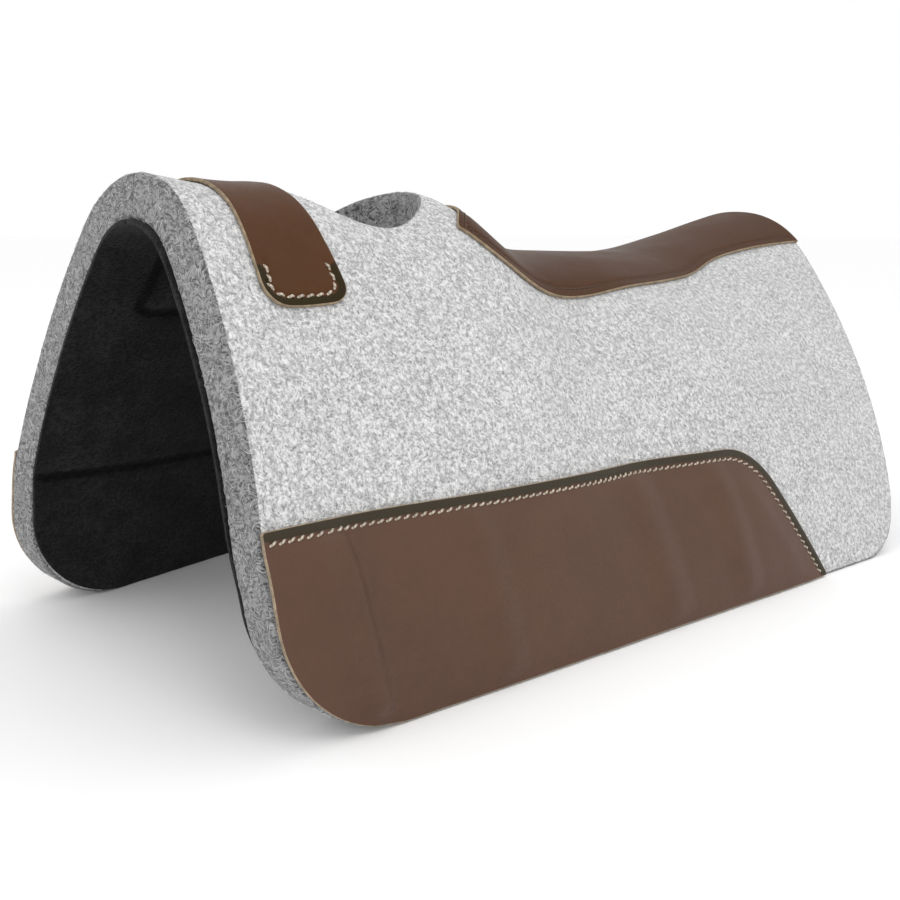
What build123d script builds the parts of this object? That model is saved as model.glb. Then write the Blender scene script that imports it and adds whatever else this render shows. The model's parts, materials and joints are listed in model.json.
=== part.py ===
"""Contoured western saddle pad: two thick felt halves, lining, wear leathers and their stitching.

Millimetres. +Z up, the skirts' lower edges rest on z = 0, the wither end faces -Y,
and +X is the horse's left flap. The origin is the bottom centre of the whole pad.
"""

import os
from math import acos, ceil, cos, radians, sin

from build123d import *

# ---------------------------------------------------------------- overall shape
pad_length = 800.0          # front of the skirts to the rear edge at the spine
pad_height = 346.0          # crown of the front lip above the ground
front_half_width = 183.0    # outer half width at the ground, front end
rear_half_width = 295.0     # outer half width at the ground, rear end
section_overrun = 30.0      # how far the arch sections run on past the trimmed edges
section_spacing = 28.0      # sections are this close together, or closer

# drops of the topline below the front lip's crown
strap_drop = 16.0
hole_front_drop = 17.0
hole_drop = 30.0
hump_drop = 16.0
shoulder_drop = 58.0
seat_drop = 69.0
loin_drop = 66.0
rear_drop = 22.0

# where the topline is set: a share of the strap's width, and shares of the length from the
# hump to the last section
strap_drop_share = 0.33
shoulder_share = 0.125
seat_share = 0.333
loin_share = 0.58

# crown of the arch: the radius of its round top and the half angle that this radius spans
front_crown_radius, front_crown_angle = 85.0, 52.0
wither_crown_radius, wither_crown_angle = 91.0, 50.5
hole_crown_radius, hole_crown_angle = 117.0, 50.0
hump_crown_radius, hump_crown_angle = 101.0, 48.5
shoulder_crown_radius, shoulder_crown_angle = 137.0, 48.5
seat_crown_radius, seat_crown_angle = 185.0, 47.0
loin_crown_radius, loin_crown_angle = 180.0, 45.5
rear_crown_radius, rear_crown_angle = 125.0, 45.0

# ---------------------------------------------------------------- layers
felt_thickness = 31.0
lining_thickness = 3.0
leather_thickness = 2.8
bond_gap = 0.2              # glue line or air between two layers
seam_gap = 0.3              # between the two halves, along the spine

# ---------------------------------------------------------------- side outline of the felt
front_corner_radius = 80.0
rear_corner_radius = 75.0
front_lean_start = 120.0    # the front edge is upright below this height
front_lean_middle = 14.0    # how far it has leaned back at the height below
front_lean_middle_height = 225.0
front_lip_setback = 28.0    # how far the front lip's crown stands back
rear_foot_setback = 156.0   # the rear edge's foot, forward of its top
rear_middle_setback = 68.0
rear_middle_height = 165.0

# ---------------------------------------------------------------- wither hole
hole_length = 132.0
hole_width = 118.0
strap_to_hole = 7.0

# ---------------------------------------------------------------- wither strap
strap_setback = 52.0        # strap's front edge behind the front of the skirts
strap_width = 70.0          # at its two ends
strap_crown_setback = 64.0  # the front edge stands further back at the crown
strap_end_drop = 96.0       # its two ends stop this far below the front lip's crown
strap_corner_radius = 15.0

# ---------------------------------------------------------------- spine leather (half widths in plan)
hole_to_spine_leather = 34.0
hump_behind_hole = 6.0
spine_scoop = 42.0          # how far its front horns reach round the hole
scoop_middle_across = 0.6    # the scoop's middle point, as shares of its width and its reach
scoop_middle_along = 0.36
horn_inset_share = 1.2      # the blunt horn comes back by more than its border is brought in
spine_horn_half_width = 72.0
spine_seat_half_width = 98.0
spine_seat_setback = 122.0  # from the horns back to the widest point
spine_waist_half_width = 72.0
spine_waist_setback = 150.0  # from the rear edge forward to the narrowest point
spine_rear_half_width = 86.0
leather_edge_setback = 1.0  # leather edges stand back from the felt's cut edges

# ---------------------------------------------------------------- wear leathers
wear_front_height = 131.0
wear_rear_height = 119.0
wear_length = 470.0         # along the top border, from the front edge to the rear corner
wear_rear_rake = 62.0       # how far the rear border runs back on its way down
wear_corner_radius = 58.0

# ---------------------------------------------------------------- stitching
stitch_margin = 7.5         # from the leather's edge to the stitch line
stitch_pitch = 6.6
stitch_length = 5.0
strap_stitch_pitch = 7.6
strap_stitch_length = 6.0
strap_side_stitch_rise = 24.0  # how far the strap's stitching runs up its two sides
thread_diameter = 1.2
thread_clearance = 0.1
lining_seam_clearance = 0.6  # straight stitches bridge the hollow underside of the crown
seam_stitch_pitch = 7.0
seam_stitch_length = 11.0
seam_stitch_lean = 0.5      # how far a seam stitch runs along the spine for each unit across
seam_end_margin = 5.0
lining_seam_rear_margin = 34.0  # the leaning rear edge stands this far forward at the lining

# ---------------------------------------------------------------- worked out
front_y = -pad_length / 2
rear_y = pad_length / 2
strap_front_y = front_y + strap_setback
strap_rear_y = strap_front_y + strap_width
strap_crown_front_y = front_y + strap_crown_setback
strap_end_height = pad_height - strap_end_drop
strap_lean = (strap_crown_setback - strap_setback) / (strap_end_drop - strap_drop)
hole_front_y = strap_rear_y + strap_to_hole
hole_y = hole_front_y + hole_length / 2
hole_rear_y = hole_y + hole_length / 2
spine_front_y = hole_rear_y + hole_to_spine_leather
spine_tail_y = rear_y + section_overrun
hump_y = hole_rear_y + hump_behind_hole
behind_hump = rear_y + section_overrun - hump_y

lining_outer = -felt_thickness - bond_gap
lining_inner = lining_outer - lining_thickness
leather_inner = bond_gap
leather_outer = bond_gap + leather_thickness
side_reach = 2 * rear_half_width
top_reach = 2 * pad_height


def station(y, drop, crown_radius, crown_angle):
    """One arch section: its place, crown height, half width, crown radius and crown angle."""
    share = (y - front_y) / pad_length
    half_width = front_half_width + share * (rear_half_width - front_half_width)
    return (y, pad_height - drop, half_width, crown_radius, radians(crown_angle))


key_stations = [
    station(front_y - section_overrun, 0.0, front_crown_radius, front_crown_angle),
    station(strap_front_y + strap_width * strap_drop_share, strap_drop, front_crown_radius, front_crown_angle),
    station(hole_front_y, hole_front_drop, wither_crown_radius, wither_crown_angle),
    station(hole_y, hole_drop, hole_crown_radius, hole_crown_angle),
    station(hump_y, hump_drop, hump_crown_radius, hump_crown_angle),
    station(hump_y + behind_hump * shoulder_share, shoulder_drop, shoulder_crown_radius, shoulder_crown_angle),
    station(hump_y + behind_hump * seat_share, seat_drop, seat_crown_radius, seat_crown_angle),
    station(hump_y + behind_hump * loin_share, loin_drop, loin_crown_radius, loin_crown_angle),
    station(rear_y + section_overrun, rear_drop, rear_crown_radius, rear_crown_angle),
]


def slope(index, value):
    """Slope of one value at a key station, from its neighbours on both sides."""
    before = key_stations[max(index - 1, 0)]
    after = key_stations[min(index + 1, len(key_stations) - 1)]
    return (after[value] - before[value]) / (after[0] - before[0])


def between(index, share):
    """A section part of the way from one key station to the next, on smooth cubic curves."""
    first, second = key_stations[index], key_stations[index + 1]
    span = second[0] - first[0]
    section = [first[0] + share * span]
    for value in range(1, len(first)):
        pull = slope(index, value) * span * share * (1 - share) ** 2
        push = slope(index + 1, value) * span * share**2 * (1 - share)
        blend = share**2 * (3 - 2 * share)
        section.append(first[value] + (second[value] - first[value]) * blend + pull - push)
    return section


last_key = len(key_stations) - 2
rear_share = (rear_y - key_stations[last_key][0]) / (key_stations[-1][0] - key_stations[last_key][0])
rear_top_height = between(last_key, rear_share)[1]

stations = []
for index in range(len(key_stations) - 1):
    span = key_stations[index + 1][0] - key_stations[index][0]
    steps = ceil(span / section_spacing)
    stations += [between(index, step / steps) for step in range(steps)]
stations.append(key_stations[-1])


def arch_points(height, half_width, crown_radius, crown_angle, offset):
    """Crown, crown middle, joint, flank middle and foot of one half arch, offset outwards.

    The flank is an arc tangent to the crown arc at the joint, and it passes the ground at
    the half width. Both arcs keep their centres when they are offset.
    """
    joint = (crown_radius * sin(crown_angle), height - crown_radius * (1 - cos(crown_angle)))
    across, down = half_width - joint[0], -joint[1]
    inward = -across * sin(crown_angle) - down * cos(crown_angle)
    flank_radius = (across**2 + down**2) / (2 * inward)
    flank_x = joint[0] - flank_radius * sin(crown_angle)
    flank_z = joint[1] - flank_radius * cos(crown_angle)
    foot_angle = acos((-section_overrun - flank_z) / (flank_radius + offset))
    crown_z = height - crown_radius

    def on_crown(angle):
        reach = crown_radius + offset
        return (reach * sin(angle), crown_z + reach * cos(angle))

    def on_flank(angle):
        reach = flank_radius + offset
        return (flank_x + reach * sin(angle), flank_z + reach * cos(angle))

    return [
        on_crown(0.0),
        on_crown(crown_angle / 2),
        on_crown(crown_angle),
        on_flank((crown_angle + foot_angle) / 2),
        on_flank(foot_angle),
    ]


def band_sections(outer, inner):
    """Sections of one layer of the left half, between two offsets from the felt's outer face."""
    sections = []
    for y, height, half_width, crown_radius, crown_angle in stations:
        out = arch_points(height, half_width, crown_radius, crown_angle, outer)
        back = arch_points(height, half_width, crown_radius, crown_angle, inner)
        with BuildSketch(Plane.XZ.offset(-y)) as section:
            with BuildLine():
                ThreePointArc(out[0], out[1], out[2])
                ThreePointArc(out[2], out[3], out[4])
                Line(out[4], back[4])
                ThreePointArc(back[4], back[3], back[2])
                ThreePointArc(back[2], back[1], back[0])
                Line(back[0], out[0])
            make_face()
        sections.append(section.sketch)
    return sections


def side_outline(start=0.0, inset=0.0):
    """Side outline of a felt half, on a YZ plane, with its edges brought in by the inset."""
    top = pad_height + section_overrun
    first, last = front_y + inset, rear_y - inset
    rear_foot = (last - rear_foot_setback, inset)
    rear_middle = (last - rear_middle_setback, rear_middle_height)
    lean_middle = (first + front_lean_middle, front_lean_middle_height)
    lean_top = (first + front_lip_setback, pad_height)
    with BuildSketch(Plane.YZ.offset(start)) as outline:
        with BuildLine():
            Line((first, inset), rear_foot)
            rear_edge = ThreePointArc(rear_foot, rear_middle, (last, rear_top_height))
            rear_rise = (top - rear_top_height) / (rear_edge % 1).Y
            rear_end = rear_edge @ 1 + (rear_edge % 1) * rear_rise
            Line(rear_edge @ 1, rear_end)
            Line((first, inset), (first, front_lean_start))
            ThreePointArc((first, front_lean_start), lean_middle, lean_top)
            Line(lean_top, (lean_top[0], top))
            Line((lean_top[0], top), rear_end)
        make_face()
        feet = outline.vertices().group_by(Axis.Y)[0].sort_by(Axis.X)
        fillet(feet[0], front_corner_radius - inset)
        feet = outline.vertices().group_by(Axis.Y)[0].sort_by(Axis.X)
        fillet(feet[-1], rear_corner_radius - inset)
    return outline.sketch


def hole_outline(clearance=0.0):
    """Plan outline of the wither hole."""
    with BuildSketch(Plane.XY) as outline:
        with Locations((0, hole_y)):
            Ellipse(hole_width / 2 + clearance, hole_length / 2 + clearance)
    return outline.sketch


def spine_border(inset=0.0):
    """Plan border of the left half of the spine leather: the scoop round the hole, then the side."""
    horn_y = spine_front_y - spine_scoop + inset * horn_inset_share
    horn_x = spine_horn_half_width
    scoop_middle = (
        spine_horn_half_width * scoop_middle_across,
        spine_front_y - spine_scoop * scoop_middle_along + inset,
    )
    widest = (spine_seat_half_width - inset, horn_y + spine_seat_setback)
    waist = (spine_waist_half_width - inset, rear_y - spine_waist_setback)
    tail = (spine_rear_half_width - inset, spine_tail_y)
    with BuildLine() as border:
        ThreePointArc((0, spine_front_y + inset), scoop_middle, (horn_x, horn_y))
        Spline((horn_x, horn_y), widest, waist, tail, tangents=((1.0, 0.4), (0.1, 1.0)))
    return border.line


def wear_corners(inset=0.0):
    """Front, rear top and rear foot of a wear leather's border, brought in by the inset."""
    front_top = (front_y, wear_front_height - inset)
    rear_top = (front_y + wear_length - inset, wear_rear_height - inset)
    rear_foot = (front_y + wear_length + wear_rear_rake - inset, 0.0)
    return front_top, rear_top, rear_foot


# ================================================================ felt halves
with BuildPart() as left_felt_panel:
    loft(band_sections(0.0, -felt_thickness))
    extrude(side_outline(seam_gap / 2), side_reach, (1, 0, 0), mode=Mode.INTERSECT)
    extrude(hole_outline(), top_reach, (0, 0, 1), mode=Mode.SUBTRACT)

with BuildPart() as right_felt_panel:
    mirror(left_felt_panel.part, about=Plane.YZ)

# ================================================================ lining halves
with BuildPart() as left_lining:
    loft(band_sections(lining_outer, lining_inner))
    outline = side_outline(start=seam_gap / 2, inset=leather_edge_setback)
    extrude(outline, side_reach, (1, 0, 0), mode=Mode.INTERSECT)
    extrude(hole_outline(leather_edge_setback), top_reach, (0, 0, 1), mode=Mode.SUBTRACT)

with BuildPart() as right_lining:
    mirror(left_lining.part, about=Plane.YZ)

# ================================================================ wither strap
with BuildPart() as wither_strap:
    loft(band_sections(leather_outer, leather_inner))
    with BuildSketch(Plane.YZ):
        strap_top = pad_height + section_overrun
        strap_top_front_y = strap_front_y + strap_lean * (strap_top - strap_end_height)
        with BuildLine():
            Polyline(
                (strap_front_y, strap_end_height),
                (strap_rear_y, strap_end_height),
                (strap_rear_y, strap_top),
                (strap_top_front_y, strap_top),
                close=True,
            )
        make_face()
        fillet(vertices().group_by(Axis.Y)[0], strap_corner_radius)
    extrude(amount=side_reach, dir=(1, 0, 0), mode=Mode.INTERSECT)
    mirror(about=Plane.YZ)

# ================================================================ spine leather
with BuildPart() as spine_leather:
    loft(band_sections(leather_outer, leather_inner))
    outline = side_outline(inset=leather_edge_setback)
    extrude(outline, side_reach, (1, 0, 0), mode=Mode.INTERSECT)
    with BuildSketch(Plane.XY):
        with BuildLine():
            add(spine_border())
            Line((0, spine_front_y), (0, spine_tail_y))
            Line((0, spine_tail_y), (spine_rear_half_width, spine_tail_y))
        make_face()
    extrude(amount=top_reach, dir=(0, 0, 1), mode=Mode.INTERSECT)
    mirror(about=Plane.YZ)

# ================================================================ wear leathers
with BuildPart() as left_wear_leather:
    loft(band_sections(leather_outer, leather_inner))
    outline = side_outline(inset=leather_edge_setback)
    extrude(outline, side_reach, (1, 0, 0), mode=Mode.INTERSECT)
    with BuildSketch(Plane.YZ):
        front_top, rear_top, rear_foot = wear_corners()
        with BuildLine():
            Polyline((front_y, 0.0), front_top, rear_top, rear_foot, close=True)
        make_face()
        fillet(vertices().sort_by_distance(rear_top)[0], wear_corner_radius)
    extrude(amount=side_reach, dir=(1, 0, 0), mode=Mode.INTERSECT)

with BuildPart() as right_wear_leather:
    mirror(left_wear_leather.part, about=Plane.YZ)


# ================================================================ stitching
def line_hits(body, point, toward):
    """Where a straight line through the point meets the body, nearest first, with the normals."""
    start = Vector(*point) - Vector(*toward) * 2 * pad_length
    hits = body.find_intersection_points(Axis(start, toward))
    return sorted(hits, key=lambda hit: (hit[0] - start).length)


def surface_point(body, point, toward):
    """Where a straight line through the point first meets the body, and the face's normal there."""
    return line_hits(body, point, toward)[0]


def stitch_planes(body, points, toward):
    """One plane for each stitch: on the body, proud of it by the thread's radius, along the line."""
    lift = thread_diameter / 2 + thread_clearance
    seats = [surface_point(body, point, toward) for point in points]
    planes = []
    for index, (seat, normal) in enumerate(seats):
        before = seats[max(index - 1, 0)][0]
        after = seats[min(index + 1, len(seats) - 1)][0]
        planes.append(Plane(origin=seat + normal * lift, x_dir=normal, z_dir=after - before))
    return planes


def points_along(path, pitch, body, toward, margin=0.0):
    """Evenly spaced points along a path, where they and their margin behind are on the body."""
    count = int(path.length // pitch)
    points = [path @ ((index + 0.5) / count) for index in range(count)]
    behind = Vector(0, margin, 0)

    def lands(point):
        return line_hits(body, point, toward) and line_hits(body, point + behind, toward)

    return [point for point in points if lands(point)]


with BuildPart() as left_wear_stitches:
    front_top, rear_top, rear_foot = wear_corners(stitch_margin)
    start = (0, front_top[0] + stitch_margin, front_top[1])
    corner = (0, rear_top[0], rear_top[1])
    end = (0, rear_foot[0], leather_edge_setback + stitch_length)
    with BuildLine() as wear_line:
        FilletPolyline(start, corner, end, radius=wear_corner_radius - stitch_margin)
    points = points_along(wear_line.wires()[0], stitch_pitch, left_wear_leather.part, (-1, 0, 0))
    with Locations(*stitch_planes(left_wear_leather.part, points, (-1, 0, 0))):
        Cylinder(thread_diameter / 2, stitch_length)

with BuildPart() as right_wear_stitches:
    mirror(left_wear_stitches.part, about=Plane.YZ)

with BuildPart() as strap_stitches:
    end_z = strap_end_height + stitch_margin
    side_z = end_z + strap_side_stitch_rise
    front_side, rear_side = strap_front_y + stitch_margin, strap_rear_y - stitch_margin
    with BuildLine() as strap_line:
        FilletPolyline(
            (0, front_side + strap_lean * strap_side_stitch_rise, side_z),
            (0, front_side, end_z),
            (0, rear_side, end_z),
            (0, rear_side, side_z),
            radius=strap_corner_radius - stitch_margin,
        )
    points = points_along(strap_line.wires()[0], strap_stitch_pitch, wither_strap.part, (-1, 0, 0))
    with Locations(*stitch_planes(wither_strap.part, points, (-1, 0, 0))):
        Cylinder(thread_diameter / 2, strap_stitch_length)
    mirror(about=Plane.YZ)

with BuildPart() as spine_leather_stitches:
    border = spine_border(stitch_margin).wires()[0]
    points = points_along(border, stitch_pitch, spine_leather.part, (0, 0, -1), stitch_margin)
    with Locations(*stitch_planes(spine_leather.part, points, (0, 0, -1))):
        Cylinder(thread_diameter / 2, stitch_length)
    mirror(about=Plane.YZ)


def zigzag_planes(body, runs, toward, clearance):
    """One plane for each slanting stitch that joins the two halves across the spine."""
    planes = []
    lift = thread_diameter / 2 + clearance
    for first, last in runs:
        count = int((last - first) // seam_stitch_pitch)
        for index in range(count):
            y = first + (index + 0.5) * (last - first) / count
            lean = seam_stitch_lean if index % 2 else -seam_stitch_lean
            seat, normal = surface_point(body, (seam_gap, y, 0), toward)
            along = Vector(1, lean, -lean * normal.Y / normal.Z)
            centre = Vector(0, seat.Y, seat.Z) - Vector(*toward) * lift
            planes.append(Plane(origin=centre, x_dir=normal, z_dir=along))
    return planes


with BuildPart() as felt_seam_stitches:
    runs = [
        (front_y + front_lip_setback + seam_end_margin, strap_crown_front_y - seam_end_margin),
        (hole_rear_y + seam_end_margin, spine_front_y - seam_end_margin),
    ]
    with Locations(*zigzag_planes(left_felt_panel.part, runs, (0, 0, -1), thread_clearance)):
        Cylinder(thread_diameter / 2, seam_stitch_length)

with BuildPart() as lining_seam_stitches:
    runs = [
        (front_y + front_lip_setback + seam_end_margin, hole_front_y - seam_end_margin),
        (hole_rear_y + seam_end_margin, rear_y - lining_seam_rear_margin),
    ]
    with Locations(*zigzag_planes(left_lining.part, runs, (0, 0, 1), lining_seam_clearance)):
        Cylinder(thread_diameter / 2, seam_stitch_length)

os.makedirs("parts", exist_ok=True)
pieces = {
    "left_felt_panel": left_felt_panel,
    "right_felt_panel": right_felt_panel,
    "left_lining": left_lining,
    "right_lining": right_lining,
    "wither_strap": wither_strap,
    "spine_leather": spine_leather,
    "left_wear_leather": left_wear_leather,
    "right_wear_leather": right_wear_leather,
    "left_wear_stitches": left_wear_stitches,
    "right_wear_stitches": right_wear_stitches,
    "strap_stitches": strap_stitches,
    "spine_leather_stitches": spine_leather_stitches,
    "felt_seam_stitches": felt_seam_stitches,
    "lining_seam_stitches": lining_seam_stitches,
}
for name, piece in pieces.items():
    piece.part.label = name
    export_step(piece.part, f"parts/{name}.step")
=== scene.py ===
"""Contoured saddle pad: two felt halves over a dark lining, with leathers and stitching.

Metres. +Z up, -Y towards the horse's head, +X towards the horse's left flap. Every piece
is cut flat as a pattern in (s, y), where s runs over the arch from the spine and is positive
on the left side, and is then laid on the pad's outer face, as sampled from the packed parts.
"""

import json
import math

import bpy
import numpy as np
from bpy.props import FloatProperty, FloatVectorProperty, IntProperty, PointerProperty
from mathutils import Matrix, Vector
from mathutils.bvhtree import BVHTree
from mathutils.geometry import delaunay_2d_cdt

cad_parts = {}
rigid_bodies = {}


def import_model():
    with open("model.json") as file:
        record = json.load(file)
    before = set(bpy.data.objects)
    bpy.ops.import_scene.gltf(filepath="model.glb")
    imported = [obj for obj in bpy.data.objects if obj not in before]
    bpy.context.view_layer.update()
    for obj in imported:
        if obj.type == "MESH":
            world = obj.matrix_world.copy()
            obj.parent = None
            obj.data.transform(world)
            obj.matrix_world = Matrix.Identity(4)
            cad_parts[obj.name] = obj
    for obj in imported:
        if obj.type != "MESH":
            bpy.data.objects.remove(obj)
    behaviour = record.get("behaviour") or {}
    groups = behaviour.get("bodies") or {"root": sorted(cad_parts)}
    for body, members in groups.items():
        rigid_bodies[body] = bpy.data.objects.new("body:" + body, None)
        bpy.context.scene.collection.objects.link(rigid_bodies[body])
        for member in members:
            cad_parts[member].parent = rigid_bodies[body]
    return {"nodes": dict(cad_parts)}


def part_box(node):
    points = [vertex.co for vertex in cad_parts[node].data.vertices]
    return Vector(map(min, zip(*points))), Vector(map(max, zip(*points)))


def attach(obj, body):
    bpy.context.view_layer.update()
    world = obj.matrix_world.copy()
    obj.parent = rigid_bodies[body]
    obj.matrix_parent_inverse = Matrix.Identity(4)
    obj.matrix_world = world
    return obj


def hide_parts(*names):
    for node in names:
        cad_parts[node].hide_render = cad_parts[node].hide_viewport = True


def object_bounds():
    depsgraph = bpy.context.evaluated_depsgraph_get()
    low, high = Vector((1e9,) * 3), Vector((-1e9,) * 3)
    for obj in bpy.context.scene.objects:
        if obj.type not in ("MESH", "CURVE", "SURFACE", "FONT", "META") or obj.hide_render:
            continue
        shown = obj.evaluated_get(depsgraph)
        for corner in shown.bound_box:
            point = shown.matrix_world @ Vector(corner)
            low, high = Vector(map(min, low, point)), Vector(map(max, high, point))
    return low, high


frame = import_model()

bl_info = {
    "name": "Contoured Saddle Pad",
    "version": (1, 0, 0),
    "blender": (4, 5, 0),
    "location": "3D View > Sidebar > Saddle Pad",
    "description": "Builds a felt and leather saddle pad, piece by piece",
    "category": "Add Mesh",
}

CAD_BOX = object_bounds()
STRAP_LOW, STRAP_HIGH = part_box("wither_strap")
WEAR_LOW, WEAR_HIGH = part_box("left_wear_leather")
SPINE_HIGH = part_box("spine_leather")[1]


def length(name, default, description):
    return FloatProperty(name=name, default=default, unit="LENGTH", precision=4, description=description)


def colour(name, default, description):
    return FloatVectorProperty(
        name=name, default=default, size=3, subtype="COLOR", min=0.0, max=1.0, description=description
    )


# ---------------------------------------------------------------- settings
class PadOutline(bpy.types.PropertyGroup):
    """The side outline that both felt halves are cut to, and the wither hole."""

    front_corner: length("Front Corner", 0.080, "Radius of the skirt's front lower corner")
    rear_corner: length("Rear Corner", 0.075, "Radius of the skirt's rear lower corner")
    lean_start: length("Lean Start", 0.120, "The front edge is upright below this height")
    lean_middle: length("Lean Middle", 0.014, "Set back of the front edge at the middle height")
    lean_middle_height: length("Lean Middle Height", 0.225, "Height of the front edge's middle point")
    lip_setback: length("Lip Setback", 0.028, "How far the front lip's crown stands back")
    rear_foot: length("Rear Foot", 0.156, "How far the rear edge's foot stands forward of its top")
    rear_middle: length("Rear Middle", 0.068, "How far the rear edge stands forward at its middle")
    rear_middle_height: length("Rear Middle Height", 0.165, "Height of the rear edge's middle point")
    hole_length: length("Hole Length", 0.132, "Length of the wither hole along the spine")
    hole_width: length("Hole Width", 0.118, "Width of the wither hole")
    strap_to_hole: length("Strap To Hole", 0.007, "Felt left between the strap and the hole")


class FeltSettings(bpy.types.PropertyGroup):
    """The two thick felt halves."""

    thickness: length("Thickness", 0.031, "Thickness of the felt")
    edge_radius: length("Edge Radius", 0.0030, "How far the cut edges are rounded over")
    spacing: length("Mesh Spacing", 0.0050, "Distance between the mesh's points")
    undulation: length("Undulation", 0.0007, "Height of the soft unevenness of the face")
    light: colour("Light Fibre", (0.77, 0.77, 0.77), "Colour of the light fibres")
    dark: colour("Dark Fibre", (0.20, 0.20, 0.205), "Colour of the dark fibres")
    # The cut edge colours are much darker than the face's: painted shade on the felt's cut faces.
    cut_light_painted_shade: colour("Cut Edge Light", (0.31, 0.31, 0.31), "Light fibres on the cut edges")
    cut_dark_painted_shade: colour("Cut Edge Dark", (0.045, 0.045, 0.046), "Dark fibres on the cut edges")


class FibreSettings(bpy.types.PropertyGroup):
    """The loose surface fibres of the felt."""

    density: FloatProperty(name="Face Density", default=12000.0, description="Fibres per square metre")
    cut_density: FloatProperty(name="Edge Density", default=60000.0, description="The same, on cut edges")
    size: length("Length", 0.0055, "Length of a fibre")
    radius: length("Radius", 0.00011, "Radius of a fibre")
    seed: IntProperty(name="Seed", default=7, description="Seed of the fibres' scatter")


class LiningSettings(bpy.types.PropertyGroup):
    """The thin dark felt on the horse's side."""

    thickness: length("Thickness", 0.003, "Thickness of the lining")
    gap: length("Bond Gap", 0.0002, "Glue line between the felt and the lining")
    spacing: length("Mesh Spacing", 0.0060, "Distance between the mesh's points")
    groove: length("Groove Depth", 0.0026, "How deep the stitching pulls into the lining")
    tint: colour("Colour", (0.0030, 0.0030, 0.0032), "Colour of the lining")


class LeatherSettings(bpy.types.PropertyGroup):
    """The wear leathers, the wither strap and the spine leather."""

    thickness: length("Thickness", 0.0028, "Thickness of the leather")
    gap: length("Seat Gap", 0.0002, "Air between the leather and the felt")
    edge_radius: length("Edge Radius", 0.0009, "How far the cut edge is rounded")
    spacing: length("Mesh Spacing", 0.0040, "Distance between the mesh's points")
    fine_spacing: length("Border Spacing", 0.0016, "The same, near the borders")
    fine_band: length("Border Band", 0.0125, "Width of the finely meshed border")
    channel: length("Channel Depth", 0.0011, "How deep the stitch line is pulled in")
    fold: length("Fold Height", 0.0064, "Height of the soft folds in the wear leathers")
    pillow: length("Pillow Height", 0.0026, "How far the leather stands off inside its stitch line")
    wear_rear_height: length("Wear Rear Height", 0.119, "Height of the wear leather's rear corner")
    wear_rake: length("Wear Rake", 0.062, "How far the wear leather's rear border runs back")
    wear_corner: length("Wear Corner", 0.058, "Radius of the wear leather's rear corner")
    strap_corner: length("Strap Corner", 0.015, "Radius of the strap's corners")
    strap_setback: length("Strap Setback", 0.012, "How much further back its front edge is at the crown")
    spine_gap: length("Spine Gap", 0.034, "Felt between the hole and the spine leather, on the spine")
    scoop: length("Spine Scoop", 0.042, "How far the spine leather's horns reach round the hole")
    horn: length("Horn Half Width", 0.072, "Half the distance between the spine leather's horns")
    seat_setback: length("Seat Setback", 0.122, "From the horns back to the widest point")
    waist: length("Waist Half Width", 0.072, "Half width of the spine leather at its waist")
    waist_setback: length("Waist Setback", 0.150, "From the rear edge forward to the waist")
    tail: length("Tail Half Width", 0.086, "Half width of the spine leather at the rear edge")
    brown: colour("Brown", (0.082, 0.039, 0.023), "Main colour of the leather")
    strap_brown: colour("Strap Brown", (0.074, 0.032, 0.014), "Main colour of the strap")
    spine_brown: colour("Spine Brown", (0.073, 0.036, 0.021), "Main colour of the spine leather")
    margin: colour("Margin", (0.026, 0.018, 0.006), "Dark burnished margin outside the stitch line")
    raw_edge: colour("Raw Edge", (0.36, 0.28, 0.19), "Cut edge of the leather")


class StitchSettings(bpy.types.PropertyGroup):
    """Threads and stitch lines."""

    margin: length("Margin", 0.0075, "From a leather's edge to its stitch line")
    pitch: length("Pitch", 0.0066, "From one stitch to the next on the wear leathers")
    size: length("Stitch Length", 0.0060, "Length of a stitch on the wear leathers")
    strap_pitch: length("Strap Pitch", 0.0076, "From one stitch to the next on the strap")
    strap_size: length("Strap Stitch", 0.0066, "Length of a stitch on the strap")
    strap_rise: length("Strap Side Rise", 0.024, "How far the strap's stitching runs up its sides")
    diameter: length("Thread Diameter", 0.0017, "Diameter of the thread")
    slant: FloatProperty(name="Slant", default=0.42, subtype="ANGLE", description="Slant to the line")
    seam_pitch: length("Seam Pitch", 0.0070, "From one zigzag stitch to the next")
    seam_size: length("Seam Stitch", 0.0110, "Length of a zigzag stitch")
    seed: IntProperty(name="Seed", default=3, description="Seed of the stitches' small unevenness")
    pale: colour("Pale Thread", (0.50, 0.44, 0.36), "Thread on the wear leathers and the strap")
    brown: colour("Brown Thread", (0.085, 0.045, 0.028), "Thread on the spine leather")
    grey: colour("Grey Thread", (0.45, 0.45, 0.45), "Thread of the felt's seam")
    black: colour("Black Thread", (0.012, 0.012, 0.012), "Thread of the lining's seam")


class StageSettings(bpy.types.PropertyGroup):
    """Floor, lights and camera."""

    azimuth: FloatProperty(name="Azimuth", default=44.3, description="Camera's azimuth in degrees")
    elevation: FloatProperty(name="Elevation", default=11.9, description="Elevation in degrees")
    distance: length("Distance", 0.983, "From the camera to its target")
    lens: FloatProperty(name="Lens", default=41.45, description="Focal length in millimetres")
    target: FloatVectorProperty(
        name="Target", default=(-0.0419, -0.0371, 0.0949), size=3, subtype="TRANSLATION",
        description="The point that the camera looks at",
    )
    floor: colour("Floor", (0.98, 0.98, 0.98), "Colour of the floor")


# ---------------------------------------------------------------- the pad's outer face
AXIS_HEIGHT = 0.09          # the level line under the arch that the face is sampled from
SAMPLE_Y = 0.004
SAMPLE_ANGLE = math.radians(1.0)
LAST_ANGLE = math.radians(120.0)
SAMPLE_S = 0.004
LONGEST_S = 0.6
REACH = 0.8
END_FILL = 0.10             # how far the face is carried on past its ends
MARGIN_Y = 0.04
MIRRORED_ANGLES = 8         # columns copied across the spine before the tables are smoothed
MIRRORED_S = 6
FLANK_HEIGHT = 0.18         # below this height a point's height tells its place on the arch
HALF_ARCH = 0.30
WIDTH, HEIGHT = 0, 2        # which coordinate of the face a place on the arch is found by


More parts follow.
